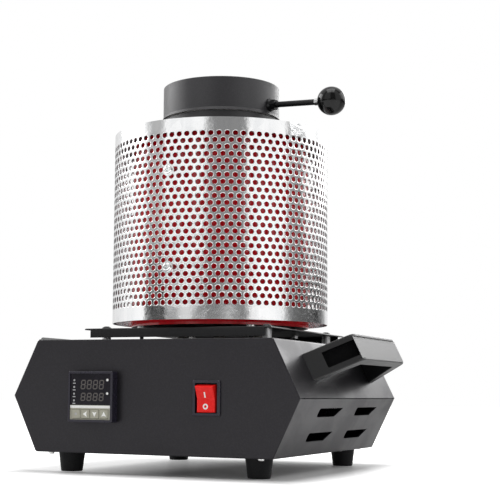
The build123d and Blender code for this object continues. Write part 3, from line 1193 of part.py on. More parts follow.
def wiring():
    """Wires between inlet, switch, relay, terminals and heater leads, with the crimps on the leads."""
    pin_end_y = REAR_Y + INLET_FLANGE[2] - 3.5 - PIN_SIZE[2] - 7.0 - 0.3
    line, neutral, _ = pin_places()
    tab_y = FRONT_Y + SWITCH_BODY[2] + 8.5 + 0.2
    terminal_back = TERMINAL_Y + TERMINAL_SIZE[1] / 2
    terminal_z = TRAY_TOP_Z + TERMINAL_SIZE[2] * 0.55
    neutral_wire = wire([(neutral[0], pin_end_y, neutral[1]), (neutral[0], pin_end_y - 22, neutral[1]),
                         (TERMINAL_X + 6.5, terminal_back + 30, terminal_z),
                         (TERMINAL_X + 6.5, terminal_back - 4, terminal_z)], WIRE_RADIUS, 8.0)
    side_x = 100.0
    line_wire = wire([(line[0], pin_end_y, line[1]), (line[0], pin_end_y - 16, line[1]),
                      (side_x, pin_end_y - 50, CONTROL_Z + 20), (side_x, tab_y + 60, CONTROL_Z + 20),
                      (SWITCH_X, tab_y + 25, CONTROL_Z + 8), (SWITCH_X, tab_y, CONTROL_Z + 8)],
                     WIRE_RADIUS, 8.0)
    relay_front = RELAY_Y - RELAY_SIZE[1] / 2
    relay_z = TRAY_TOP_Z + 14.0
    switch_wire = wire([(SWITCH_X, tab_y, CONTROL_Z - 8), (SWITCH_X, tab_y + 22, CONTROL_Z - 8),
                        (RELAY_X + 16, relay_front - 34, relay_z),
                        (RELAY_X + 16, relay_front - 0.3, relay_z)], WIRE_RADIUS, 8.0)
    control_y = FRONT_Y + CONTROLLER_DEPTH + 0.3
    probe_wire = wire([(0, AXIS_Y, PROBE_END_Z - 0.3), (0, AXIS_Y, PROBE_END_Z - 22),
                       (CONTROLLER_X, control_y + 30, CONTROL_Z + 6),
                       (CONTROLLER_X, control_y, CONTROL_Z + 6)], WIRE_RADIUS * 0.8, 8.0)
    return group([neutral_wire, line_wire, switch_wire, probe_wire] + lead_crimps() + lead_wires())


# ---- nodes ---------------------------------------------------------------------------------------------
NODES = {
    "top_cover": top_cover, "bottom_tray": bottom_tray, "front_panel": front_panel, "rear_panel": rear_panel,
    "seam_straps": seam_straps, "panel_screws": panel_screws, "foot_screws": foot_screws,
    "handle_screws": handle_screws, "support_plate": support_plate, "plate_standoffs": plate_standoffs,
    "dome_bolts": dome_bolts, "nuts_m5": nuts_m5, "nuts_m4": nuts_m4, "drum_spacers": drum_spacers,
    "drum_shell": drum_shell, "drum_floor": drum_floor, "drum_lining": drum_lining, "top_ring": top_ring,
    "ring_screws": ring_screws, "mouth_collar": mouth_collar, "collar_lining": collar_lining, "guard": guard,
    "guard_spacers": guard_spacers, "guard_screws": guard_screws, "muffle": muffle, "base_brick": base_brick,
    "heating_element": heating_element, "heater_leads": heater_leads, "lead_bushings": lead_bushings,
    "thermocouple": thermocouple, "lid_can": lid_can, "lid_lining": lid_lining,
    "lid_handle_nuts": lid_handle_nuts, "lid_handle_washer": lid_handle_washer, "lid_rod": lid_rod,
    "knob_ferrule": knob_ferrule, "ball_knob": ball_knob, "controller_bezel": controller_bezel,
    "controller_case": controller_case, "display_window": display_window, "key_fascia": key_fascia,
    "controller_boards": controller_boards,
    "switch_body": switch_body, "rocker_button": rocker_button, "mains_inlet": mains_inlet,
    "inlet_pins": inlet_pins, "solid_state_relay": solid_state_relay, "terminal_block": terminal_block,
    "tray_screws": tray_screws, "wiring": wiring,
}


def main():
    os.makedirs("parts", exist_ok=True)
    shapes = {name: make() for name, make in NODES.items()}
    for name, (x, y) in zip(FOOT_NAMES, FOOT_PLACES):
        shapes[name] = rubber_foot(x, y)
    for name, side in (("handle_left", -1), ("handle_right", 1)):
        shapes[name] = carry_handle(side)
    for name, x in zip(KEY_NAMES, key_xs()):
        shapes[name] = controller_key(x)
    for name, shape in shapes.items():
        export_step(named(shape, name), os.path.join("parts", name + ".step"), write_pcurves=False)
    print(len(shapes), "nodes")


main()
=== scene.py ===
"""Electric melting furnace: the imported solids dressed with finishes, and the pieces that need finer surfaces
than the solids give, such as the perforated guard. Metres, +Z up, the control panel faces -Y."""
import bpy
import json
import math
import numpy as np
from mathutils import Matrix, Vector

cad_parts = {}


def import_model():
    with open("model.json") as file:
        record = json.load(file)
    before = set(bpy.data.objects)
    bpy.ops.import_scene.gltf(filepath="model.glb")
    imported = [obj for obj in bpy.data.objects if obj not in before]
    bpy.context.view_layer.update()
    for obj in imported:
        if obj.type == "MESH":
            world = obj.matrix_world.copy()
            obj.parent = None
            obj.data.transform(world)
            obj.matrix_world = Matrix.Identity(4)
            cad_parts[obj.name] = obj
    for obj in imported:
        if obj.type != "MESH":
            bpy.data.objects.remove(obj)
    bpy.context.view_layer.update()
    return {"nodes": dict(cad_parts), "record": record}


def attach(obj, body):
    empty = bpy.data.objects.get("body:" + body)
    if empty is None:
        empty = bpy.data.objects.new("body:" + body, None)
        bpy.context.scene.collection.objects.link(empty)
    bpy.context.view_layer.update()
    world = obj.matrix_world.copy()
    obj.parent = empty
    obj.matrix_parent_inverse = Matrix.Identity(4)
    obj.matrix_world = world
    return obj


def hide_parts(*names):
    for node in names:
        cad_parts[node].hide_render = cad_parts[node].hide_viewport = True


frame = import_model()
MM = 0.001

# ---- sizes, as in the part's source, in millimetres ------------------------------------------------------
FRONT_Y = -145.0
REAR_Y = 152.0
BASE_MIDDLE_Y = (FRONT_Y + REAR_Y) / 2
AXIS_Y = 15.0
GUARD_LOW, GUARD_HIGH = 148.1, 347.1
GUARD_OUTSIDE, GUARD_INSIDE = 113.0, 112.2
CONTROL_Z = 72.4
CONTROLLER_X = -58.1
SWITCH_X = 58.9
FACE_Y = -154.0             # of the controller's window and fascia
FACE_WIDTH = 43.8
WINDOW_TOP = 94.3
STRIPE_HEIGHT = 2.5         # of the light print on the strip over the keys
STRIPE_Z = 63.0
KEY_Z = 56.2
KEY_PITCH = 10.1
ROCKER_TILT = 12.0          # degrees; the upper face leans out by twice this
ROCKER_FACE_Y = -147.91     # lower face, upright at rest
ROCKER_FOLD_Z = 71.57       # where the two faces meet
BASE_HALF_WIDTH = 123.5     # of the housing's floor
CREASE_HALF_WIDTH = 149.5   # of the housing at its side creases
CREASE_Z, TOP_Z = 73.0, 127.0
GRIP_SHIFT = 1.8            # handle's middle above the slope's middle
GRIP_FOOT_HALF = 91.5       # handle's half length at the housing
GRIP_LEAN = math.radians(25.82)     # its legs, from the slope's normal
POCKET_HALF_WIDTH = 7.9     # of the pocket in each of its legs
POCKET_DEPTH = 9.4
POCKET_TOP = 45.06          # pocket's upper wall, from the slope


def place_object(name, data):
    """Makes an object of some data, links it to the scene and returns it."""
    obj = bpy.data.objects.new(name, data)
    bpy.context.scene.collection.objects.link(obj)
    return obj


# ---- camera ----------------------------------------------------------------------------------------------
CAMERA_SPOT = (527.65, -1169.09, 78.39)     # millimetres
CAMERA_YAW, CAMERA_PITCH, CAMERA_ROLL = 25.45, 6.20, 0.56   # degrees
SENSOR_WIDTH = 36.0
FOCAL_LENGTH = 88.41
LENS_SHIFT_X, LENS_SHIFT_Y = 0.1206, 0.0160
NEAREST, FARTHEST = 0.05, 20.0      # metres that the camera sees


def camera():
    """Looks up a little from bench height, from the right of the front; level but for half a degree."""
    yaw, pitch, roll = (math.radians(angle) for angle in (CAMERA_YAW, CAMERA_PITCH, CAMERA_ROLL))
    forward = Vector((-math.sin(yaw) * math.cos(pitch), math.cos(yaw) * math.cos(pitch), math.sin(pitch)))
    right = Vector((math.cos(yaw), math.sin(yaw), 0))
    up = right.cross(forward)
    right_rolled = right * math.cos(roll) + up * math.sin(roll)
    up_rolled = up * math.cos(roll) - right * math.sin(roll)
    data = bpy.data.cameras.new("camera")
    data.sensor_width = SENSOR_WIDTH
    data.lens = FOCAL_LENGTH
    data.shift_x = LENS_SHIFT_X
    data.shift_y = LENS_SHIFT_Y
    data.clip_start = NEAREST
    data.clip_end = FARTHEST
    cam = place_object("camera", data)
    turn = Matrix((right_rolled, up_rolled, -forward)).transposed().to_4x4()
    cam.matrix_world = Matrix.Translation(Vector(CAMERA_SPOT) * MM) @ turn
    bpy.context.scene.camera = cam


# ---- shared shader groups --------------------------------------------------------------------------------
COARSE_SCALE, COARSE_HEIGHT = 0.35, 0.6  # of powder coat's coarse grain, against its fine one
CRYSTAL_WARP = 0.006                    # metres that noise shifts the zinc's crystals
FINE_HEIGHT = 0.35                      # of the zinc's fine grain, against its crystals
STREAKS_PER_METRE = (90.0, 90.0, 5.0)   # in X, Y and Z, so that the zinc's streaks stand upright


def new_group(name, inputs, outputs):
    """A node group; returns (tree, input node, output node). Each input has a value to start with."""
    tree = bpy.data.node_groups.new(name, "ShaderNodeTree")
    for label, kind, value in inputs:
        socket = tree.interface.new_socket(label, in_out="INPUT", socket_type=kind)
        socket.default_value = value
    for label, kind in outputs:
        tree.interface.new_socket(label, in_out="OUTPUT", socket_type=kind)
    return tree, tree.nodes.new("NodeGroupInput"), tree.nodes.new("NodeGroupOutput")


def node(tree, kind, **settings):
    """Adds a node; a setting is a node property, or an input socket's value when it names one."""
    made = tree.nodes.new(kind)
    for key, value in settings.items():
        if hasattr(made, key):
            setattr(made, key, value)
        else:
            made.inputs[key.replace("_", " ")].default_value = value
    return made


def math_node(tree, operation, a, b=None):
    """A Math node on two sockets or numbers; returns its output."""
    made = tree.nodes.new("ShaderNodeMath")
    made.operation = operation
    for index, value in enumerate((a, b)):
        if value is None:
            continue
        if isinstance(value, (int, float)):
            made.inputs[index].default_value = value
        else:
            tree.links.new(value, made.inputs[index])
    return made.outputs[0]


def blend_colours(tree, factor, a, b):
    """Colour a where factor is 0, b where it is 1; returns the output."""
    made = tree.nodes.new("ShaderNodeMix")
    made.data_type = "RGBA"
    for socket, value in ((made.inputs[0], factor), (made.inputs[6], a), (made.inputs[7], b)):
        if isinstance(value, tuple):
            socket.default_value = (*value, 1.0)
        else:
            tree.links.new(value, socket)
    return made.outputs[2]


def object_place(tree):
    """The point's place in the object's own coordinates, which are the frame's."""
    return tree.nodes.new("ShaderNodeTexCoord").outputs["Object"]


def split(tree, vector):
    """A vector's X, Y and Z."""
    parts = tree.nodes.new("ShaderNodeSeparateXYZ")
    tree.links.new(vector, parts.inputs[0])
    return parts.outputs["X"], parts.outputs["Y"], parts.outputs["Z"]


def noise(tree, place, **settings):
    """A Noise Texture node at a place; settings as for node()."""
    made = node(tree, "ShaderNodeTexNoise", **settings)
    tree.links.new(place, made.inputs["Vector"])
    return made


def spread(tree, value, low, high, out_low=0.0, out_high=1.0):
    """Maps low..high to out_low..out_high, smoothly and clamped."""
    made = tree.nodes.new("ShaderNodeMapRange")
    made.interpolation_type = "SMOOTHSTEP"
    made.inputs["From Min"].default_value = low
    made.inputs["From Max"].default_value = high
    made.inputs["To Min"].default_value = out_low
    made.inputs["To Max"].default_value = out_high
    tree.links.new(value, made.inputs["Value"])
    return made.outputs["Result"]


def powder_group():
    """Powder coat: fine rounded grain from two noises; a slow noise stands for handling and dust."""
    tree, inside, outside = new_group("powder_coat", [("Grain", "NodeSocketFloat", 900.0)],
                                      [("Height", "NodeSocketFloat"), ("Grains", "NodeSocketFloat"),
                                       ("Smudge", "NodeSocketFloat")])
    place = object_place(tree)
    fine = noise(tree, place, Detail=2.0, Roughness=0.55)
    tree.links.new(inside.outputs["Grain"], fine.inputs["Scale"])
    coarse = noise(tree, place, Detail=1.0)
    tree.links.new(math_node(tree, "MULTIPLY", inside.outputs["Grain"], COARSE_SCALE), coarse.inputs["Scale"])
    lumps = math_node(tree, "MULTIPLY", coarse.outputs["Fac"], COARSE_HEIGHT)
    tree.links.new(math_node(tree, "ADD", fine.outputs["Fac"], lumps), outside.inputs["Height"])
    tree.links.new(spread(tree, fine.outputs["Fac"], 0.42, 0.66), outside.inputs["Grains"])
    slow = noise(tree, place, Scale=14.0, Detail=5.0, Roughness=0.6, Distortion=0.6)
    tree.links.new(spread(tree, slow.outputs["Fac"], 0.35, 0.7), outside.inputs["Smudge"])
    return tree


def zinc_group():
    """Hot-dip zinc: Voronoi crystals, each with its own shade, and faint upright rolling streaks."""
    tree, inside, outside = new_group("zinc_spangle", [("Crystals", "NodeSocketFloat", 110.0)],
                                      [("Shade", "NodeSocketFloat"), ("Streaks", "NodeSocketFloat"),
                                       ("Height", "NodeSocketFloat")])
    place = object_place(tree)
    warp = noise(tree, place, Scale=60.0, Detail=2.0)
    bent = tree.nodes.new("ShaderNodeVectorMath")
    bent.operation = "MULTIPLY_ADD"
    tree.links.new(warp.outputs["Color"], bent.inputs[0])
    bent.inputs[1].default_value = (CRYSTAL_WARP,) * 3
    tree.links.new(place, bent.inputs[2])
    cells = tree.nodes.new("ShaderNodeTexVoronoi")
    tree.links.new(bent.outputs[0], cells.inputs["Vector"])
    tree.links.new(inside.outputs["Crystals"], cells.inputs["Scale"])
    grey = tree.nodes.new("ShaderNodeRGBToBW")
    tree.links.new(cells.outputs["Color"], grey.inputs[0])
    tree.links.new(grey.outputs[0], outside.inputs["Shade"])
    stretch = tree.nodes.new("ShaderNodeMapping")
    stretch.inputs["Scale"].default_value = STREAKS_PER_METRE
    tree.links.new(place, stretch.inputs["Vector"])
    streak = noise(tree, stretch.outputs[0], Scale=1.0, Detail=4.0, Roughness=0.6)
    tree.links.new(spread(tree, streak.outputs["Fac"], 0.35, 0.68), outside.inputs["Streaks"])
    fine = noise(tree, place, Scale=500.0, Detail=2.0)
    grain = math_node(tree, "MULTIPLY", fine.outputs["Fac"], FINE_HEIGHT)
    tree.links.new(math_node(tree, "ADD", grain, grey.outputs[0]), outside.inputs["Height"])
    return tree


def fibre_group():
    """Pressed ceramic fibre or fired clay: soft lumps, pits and a slow tone change."""
    tree, inside, outside = new_group("fibre_and_clay", [("Lumps", "NodeSocketFloat", 260.0)],
                                      [("Height", "NodeSocketFloat"), ("Tone", "NodeSocketFloat")])
    place = object_place(tree)
    lump = noise(tree, place, Detail=6.0, Roughness=0.7)
    tree.links.new(inside.outputs["Lumps"], lump.inputs["Scale"])
    slow = noise(tree, place, Scale=30.0, Detail=3.0)
    tree.links.new(lump.outputs["Fac"], outside.inputs["Height"])
    tree.links.new(slow.outputs["Fac"], outside.inputs["Tone"])
    return tree


POWDER = powder_group()
ZINC = zinc_group()
FIBRE = fibre_group()


# ---- materials -------------------------------------------------------------------------------------------
PUNCH_EDGE = "punch_edge"   # attribute of the guard's mesh: 0 between the holes, 1 on their rims
RIM_FALL = 0.00015          # metres that the guard's face falls at a hole's rim
RIM_CURVE = 5.0             # power of the attribute by which it falls
WAVE_HEIGHT = 0.0004        # metres, of the guard's slight waves
RAW_STEEL_AND_RED_BOUNCE = (0.20, 0.14, 0.145)     # of the holes' cut walls: raw steel with painted red light bounced from the drum
CRYSTAL_SHARE = 0.55        # of the crystals in the zinc's shade; its streaks have the rest
CRYSTAL_DEPTH = 0.00001     # metres
SMUDGE = 0.04               # how far smudges change a coat's roughness either way


def blank(name, **values):
    """A material with one Principled shader; constant values go on its own sockets."""
    made = bpy.data.materials.new(name)
    made.use_nodes = True
    shader = made.node_tree.nodes["Principled BSDF"]
    for key, value in values.items():
        label = key.replace("_", " ")
        shader.inputs[label].default_value = (*value, 1.0) if isinstance(value, tuple) else value
    return made, made.node_tree, shader


def bump(tree, shader, height, depth, strength=1.0):
    """Height map to normal; depth in metres."""
    made = node(tree, "ShaderNodeBump", Strength=strength, Distance=depth)
    tree.links.new(height, made.inputs["Height"])
    tree.links.new(made.outputs[0], shader.inputs["Normal"])


def coated(name, colour, lit, rough, grain=900.0, depth=0.00003, **values):
    """Painted or moulded surface: base colour with lighter grains, roughness that follows the smudges."""
    made, tree, shader = blank(name, **values)
    coat = tree.nodes.new("ShaderNodeGroup")
    coat.node_tree = POWDER
    coat.inputs["Grain"].default_value = grain
    tree.links.new(blend_colours(tree, coat.outputs["Grains"], colour, lit), shader.inputs["Base Color"])
    smudged = spread(tree, coat.outputs["Smudge"], 0.0, 1.0, rough - SMUDGE, rough + SMUDGE)
    tree.links.new(smudged, shader.inputs["Roughness"])
    bump(tree, shader, coat.outputs["Height"], depth, 0.6)
    return made


def zinc_metal(name, dark, light, rough_low, rough_high, crystals=110.0):
    """Zinc or plated steel: crystals shade the colour, streaks change the roughness."""
    made, tree, shader = blank(name, Metallic=1.0)
    zinc = tree.nodes.new("ShaderNodeGroup")
    zinc.node_tree = ZINC
    zinc.inputs["Crystals"].default_value = crystals
    crystal_shade = math_node(tree, "MULTIPLY", zinc.outputs["Shade"], CRYSTAL_SHARE)
    streaks = math_node(tree, "MULTIPLY", zinc.outputs["Streaks"], 1 - CRYSTAL_SHARE)
    mixed = math_node(tree, "ADD", crystal_shade, streaks)
    tree.links.new(blend_colours(tree, mixed, dark, light), shader.inputs["Base Color"])
    tree.links.new(spread(tree, mixed, 0.0, 1.0, rough_high, rough_low), shader.inputs["Roughness"])
    bump(tree, shader, zinc.outputs["Height"], CRYSTAL_DEPTH, 0.5)
    return made


def punched_sheet():
    """Galvanised sheet, punched and then rolled: raw steel, tinted with painted red light from the drum, shows
    in the holes, the face rolls over at their rims by the fifth power of the mesh's own attribute PUNCH_EDGE,
    and it waves a little."""
    made = zinc_metal("punched_sheet", (0.84, 0.85, 0.86), (1.0, 1.0, 1.0), 0.07, 0.16)
    tree = made.node_tree
    shader = tree.nodes["Principled BSDF"]
    edge = node(tree, "ShaderNodeAttribute", attribute_name=PUNCH_EDGE).outputs["Fac"]
    zinc_colour = shader.inputs["Base Color"].links[0].from_socket
    raw = spread(tree, edge, 0.90, 1.0)
    # the hole walls get raw steel's colour with painted red light from the drum
    tree.links.new(blend_colours(tree, raw, zinc_colour, RAW_STEEL_AND_RED_BOUNCE), shader.inputs["Base Color"])
    waves = noise(tree, object_place(tree), Scale=60.0, Detail=5.0, Roughness=0.55)
    waved = math_node(tree, "MULTIPLY", waves.outputs["Fac"], WAVE_HEIGHT / RIM_FALL)
    rolled = math_node(tree, "POWER", edge, RIM_CURVE)
    bump(tree, shader, math_node(tree, "SUBTRACT", waved, rolled), RIM_FALL)
    return made


def fired(name, dark, light, lumps, depth=0.0003):
    """Fibre, brick or bare ceramic: a slow change of tone, and lumps as the height."""
    made, tree, shader = blank(name, Roughness=0.9)
    clay = tree.nodes.new("ShaderNodeGroup")
    clay.node_tree = FIBRE
    clay.inputs["Lumps"].default_value = lumps
    tree.links.new(blend_colours(tree, clay.outputs["Tone"], dark, light), shader.inputs["Base Color"])
    bump(tree, shader, clay.outputs["Height"], depth, 0.8)
    return made


def weighted_sum(tree, terms, constant):
    """Adds up (socket, weight) pairs and a constant."""
    total = constant
    for socket, weight in terms:
        total = math_node(tree, "ADD", math_node(tree, "MULTIPLY", socket, weight), total)
    return total


def distance_from(tree, value, middle):
    """How far a socket's value is from a number."""
    return math_node(tree, "ABSOLUTE", math_node(tree, "SUBTRACT", value, middle))


def within(tree, distance, limit, feather):
    """1 where a distance in metres is under a limit, 0 from a feather past it; both in millimetres."""
    return spread(tree, distance, limit * MM, (limit + feather) * MM, 1.0, 0.0)


def handle_plastic():
    """Smooth glossy skin on the outside of a carry handle; none in its legs' pockets, which is painted shade
    that darkens these recesses. A point's place on the handle comes from its distances along the slope's
    normal (reach), up the slope and from the handle's middle; its depth is how far it lies behind the leg's
    outer face."""
    made = coated("handle_plastic", (0.005, 0.005, 0.0055), (0.009, 0.009, 0.010), 0.60, grain=1400.0,
                  Specular_IOR_Level=0.05, Coat_Roughness=0.44)
    tree = made.node_tree
    x, y, height = split(tree, object_place(tree))
    slope = math.atan2(CREASE_HALF_WIDTH - BASE_HALF_WIDTH, TOP_Z - CREASE_Z)
    middle_x = (BASE_HALF_WIDTH + CREASE_HALF_WIDTH) / 2 * MM
    middle_z = (CREASE_Z + TOP_Z) / 2 * MM
    side = math_node(tree, "ABSOLUTE", x)
    reach = weighted_sum(tree, [(side, math.cos(slope)), (height, math.sin(slope))],
                         -middle_x * math.cos(slope) - middle_z * math.sin(slope))
    up_slope = weighted_sum(tree, [(side, -math.sin(slope)), (height, math.cos(slope))],
                            middle_x * math.sin(slope) - middle_z * math.cos(slope) - GRIP_SHIFT * MM)
    from_middle = distance_from(tree, y, BASE_MIDDLE_Y * MM)
    depth = weighted_sum(tree, [(reach, -math.sin(GRIP_LEAN)), (from_middle, -math.cos(GRIP_LEAN))],
                         GRIP_FOOT_HALF * MM * math.cos(GRIP_LEAN))
    beside = within(tree, math_node(tree, "ABSOLUTE", up_slope), POCKET_HALF_WIDTH + 0.2, feather=0.3)
    behind = spread(tree, depth, 0.3 * MM, 1.2 * MM)
    inside = math_node(tree, "MULTIPLY", behind, within(tree, depth, POCKET_DEPTH + 0.4, feather=0.4))
    below = within(tree, reach, POCKET_TOP + 0.2, feather=0.2)
    # painted shade: the coat is taken out inside the legs' pockets so that these recesses render dark
    pocket = math_node(tree, "MULTIPLY", beside, math_node(tree, "MULTIPLY", inside, below))
    shader = tree.nodes["Principled BSDF"]
    tree.links.new(math_node(tree, "SUBTRACT", 1.0, pocket), shader.inputs["Coat Weight"])
    return made


HOUSING_PAINT = coated("housing_powder_coat", (0.0060, 0.0056, 0.0066), (0.010, 0.0095, 0.0112), 0.38,
                       Specular_IOR_Level=0.38, Specular_Tint=(0.96, 0.93, 1.0))
LID_PAINT = coated("lid_powder_coat", (0.014, 0.013, 0.016), (0.021, 0.020, 0.024), 0.44,
                   Specular_IOR_Level=0.62, Sheen_Weight=0.22, Sheen_Roughness=0.40)
BLACK_PAINT = coated("black_powder_coat", (0.007, 0.007, 0.008), (0.012, 0.012, 0.0135), 0.40,
                     Specular_IOR_Level=0.30)
DRUM_ENAMEL = coated("red_enamel", (0.64, 0.001, 0.009), (0.75, 0.0015, 0.013), 0.34, grain=500.0,
                     depth=0.00001, Specular_IOR_Level=0.12, Coat_Weight=0.6, Coat_Roughness=0.04,
                     Coat_IOR=1.7)
HANDLE_PLASTIC = handle_plastic()
CASE_PLASTIC = coated("case_plastic", (0.016, 0.014, 0.024), (0.023, 0.021, 0.034), 0.30, grain=1800.0,
                      depth=0.00001, Specular_IOR_Level=0.38)
KNOB_PLASTIC = coated("knob_plastic", (0.003, 0.003, 0.003), (0.005, 0.005, 0.005), 0.10, grain=300.0,
                      depth=0.000002, Specular_IOR_Level=0.30)
FOOT_RUBBER = coated("foot_rubber", (0.008, 0.008, 0.009), (0.015, 0.015, 0.016), 0.60, grain=1500.0,
                     Specular_IOR_Level=0.20)
WINDOW_PLASTIC = coated("window_plastic", (0.009, 0.008, 0.012), (0.012, 0.010, 0.016), 0.20, grain=200.0,
                        depth=0.000002, Specular_IOR_Level=0.20)
FASCIA_FILM = coated("fascia_film", (0.38, 0.37, 0.30), (0.44, 0.43, 0.35), 0.45, grain=2500.0, depth=0.00001)
KEY_RUBBER = coated("key_cap", (0.36, 0.35, 0.28), (0.43, 0.42, 0.34), 0.50, grain=2200.0, depth=0.00001)
BOARD = coated("circuit_board", (0.02, 0.10, 0.04), (0.04, 0.15, 0.07), 0.40, grain=1200.0)
SWITCH_RED = coated("switch_red", (0.84, 0.012, 0.010), (0.90, 0.018, 0.015), 0.24, grain=400.0,
                    depth=0.000003, Specular_IOR_Level=0.22)
RELAY_PLASTIC = coated("relay_plastic", (0.55, 0.54, 0.50), (0.62, 0.61, 0.57), 0.45, grain=1500.0)
WIRE_SLEEVE = coated("silicone_sleeve", (0.42, 0.05, 0.03), (0.50, 0.07, 0.04), 0.55, grain=1500.0)
PRINT_WHITE = coated("printed_white", (0.86, 0.86, 0.84), (0.92, 0.92, 0.90), 0.50, grain=2500.0,
                     depth=0.000005)
PRINT_GREY = coated("printed_grey", (0.40, 0.40, 0.41), (0.48, 0.48, 0.49), 0.50, grain=2500.0,
                    depth=0.000005)
DIGIT_GREY = coated("unlit_digit", (0.068, 0.060, 0.056), (0.088, 0.078, 0.072), 0.45, grain=2500.0,
                    depth=0.000005)
GALVANISED = zinc_metal("galvanised_sheet", (0.74, 0.75, 0.77), (1.0, 1.0, 1.0), 0.08, 0.20)
PUNCHED_SHEET = punched_sheet()
ZINC_PLATE = zinc_metal("zinc_plate", (0.62, 0.62, 0.61), (0.84, 0.84, 0.83), 0.20, 0.36, crystals=600.0)
BRIGHT_METAL = zinc_metal("polished_plate", (0.80, 0.80, 0.80), (0.92, 0.92, 0.92), 0.06, 0.16,
                          crystals=900.0)
TURNED_ALUMINIUM = coated("turned_aluminium", (0.82, 0.82, 0.83), (0.92, 0.92, 0.92), 0.35, grain=2000.0,
                          depth=0.000005, Metallic=0.35)
SCREW_METAL = zinc_metal("screw_plating", (0.70, 0.71, 0.71), (0.98, 0.98, 0.98), 0.05, 0.12, crystals=900.0)
BLACK_OXIDE = coated("black_oxide", (0.012, 0.012, 0.013), (0.03, 0.03, 0.032), 0.35, grain=1500.0,
                     Metallic=0.6)
OLD_WIRE = zinc_metal("oxidised_wire", (0.10, 0.09, 0.085), (0.22, 0.20, 0.18), 0.35, 0.6, crystals=900.0)
PROBE_STEEL = zinc_metal("probe_steel", (0.42, 0.40, 0.36), (0.60, 0.58, 0.54), 0.25, 0.4, crystals=900.0)
PIN_METAL = zinc_metal("pin_metal", (0.66, 0.58, 0.40), (0.80, 0.72, 0.52), 0.18, 0.3, crystals=900.0)
WHITE_CERAMIC = fired("white_ceramic", (0.66, 0.62, 0.55), (0.80, 0.77, 0.71), 300.0, 0.0001)
FIREBRICK = fired("firebrick", (0.60, 0.50, 0.38), (0.74, 0.66, 0.54), 420.0)
FIBRE_BOARD = fired("fibre_board", (0.70, 0.68, 0.64), (0.84, 0.82, 0.79), 700.0, 0.0002)

# the finish of each slot, and of the nodes that look different from their slot
FINISHES = {
    "housing_paint": HOUSING_PAINT, "black_paint": BLACK_PAINT, "drum_red": DRUM_ENAMEL,
    "galvanised": GALVANISED, "zinc": ZINC_PLATE, "black_screw": BLACK_OXIDE, "bright_metal": BRIGHT_METAL,
    "handle_plastic": HANDLE_PLASTIC, "case_plastic": CASE_PLASTIC, "knob_plastic": KNOB_PLASTIC,
    "foot_rubber": FOOT_RUBBER, "window": WINDOW_PLASTIC, "fascia": FASCIA_FILM, "key_rubber": KEY_RUBBER,
    "board": BOARD, "switch_red": SWITCH_RED, "white_ceramic": WHITE_CERAMIC, "firebrick": FIREBRICK,
    "fibre": FIBRE_BOARD, "coil_wire": OLD_WIRE, "probe_steel": PROBE_STEEL, "pin_brass": PIN_METAL,
    "relay_plastic": RELAY_PLASTIC, "wire_sleeve": WIRE_SLEEVE,
}
OWN_FINISH = {"lid_can": LID_PAINT, "mouth_collar": LID_PAINT, "guard_screws": SCREW_METAL,
              "lid_handle_nuts": BLACK_OXIDE, "lid_handle_washer": BLACK_OXIDE,
              "plate_standoffs": TURNED_ALUMINIUM}


def dress_nodes():
    """Every CAD node gets the finish of its record slot, or its own."""
    slots = {entry["node"]: entry["material_slot"] for entry in frame["record"]["subparts"]}
    for name, obj in frame["nodes"].items():
        finish = OWN_FINISH.get(name, FINISHES[slots[name]])
        obj.data.materials.clear()
        obj.data.materials.append(finish)


# ---- mesh helpers ----------------------------------------------------------------------------------------
def add_piece(name, mesh, finish, body):
    """A visible piece of a mesh: its finish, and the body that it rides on."""
    mesh.materials.append(finish)
    obj = place_object(name, mesh)
    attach(obj, body)
    return obj


def sheet_mesh(name, points, faces, smooth):
    """A mesh of quads from arrays in millimetres; an edge over the smooth angle, in degrees, stays sharp."""
    mesh = bpy.data.meshes.new(name)
    points = points * MM
    faces = np.asarray(faces, np.int32)
    count, sides = faces.shape
    mesh.vertices.add(len(points))
    mesh.vertices.foreach_set("co", points.ravel())
    mesh.loops.add(count * sides)
    mesh.loops.foreach_set("vertex_index", faces.ravel())
    mesh.polygons.add(count)
    mesh.polygons.foreach_set("loop_start", np.arange(count, dtype=np.int32) * sides)
    mesh.update(calc_edges=True)
    mesh.validate()
    mesh.polygons.foreach_set("use_smooth", np.ones(count, bool))
    mesh.set_sharp_from_angle(angle=math.radians(smooth))
    return mesh


def wrap(radius, turn, height):
    """Point at an angle round the drum's axis: x = r sin(a), y = axis - r cos(a)."""
    x, y = radius * np.sin(turn), AXIS_Y - radius * np.cos(turn)
    return np.stack(np.broadcast_arrays(x, y, height), axis=-1)


# ---- guard -----------------------------------------------------------------------------------------------
HOLES_ROUND = 88
HOLE_ROWS = 25
ROW_PITCH = 6.93
HOLE_RADIUS = 2.65
FIRST_ROW = 331.0           # height of the top row's middles
FIRST_HOLE = 23.0           # degrees from the front to a hole of that row
LINES = 4                   # lines per hole's pitch, on which the cells' corners lie
RIM_POINTS = 12             # points of a hole's edge, as many as its cell's outline has
SHARP_ANGLE = 35            # degrees


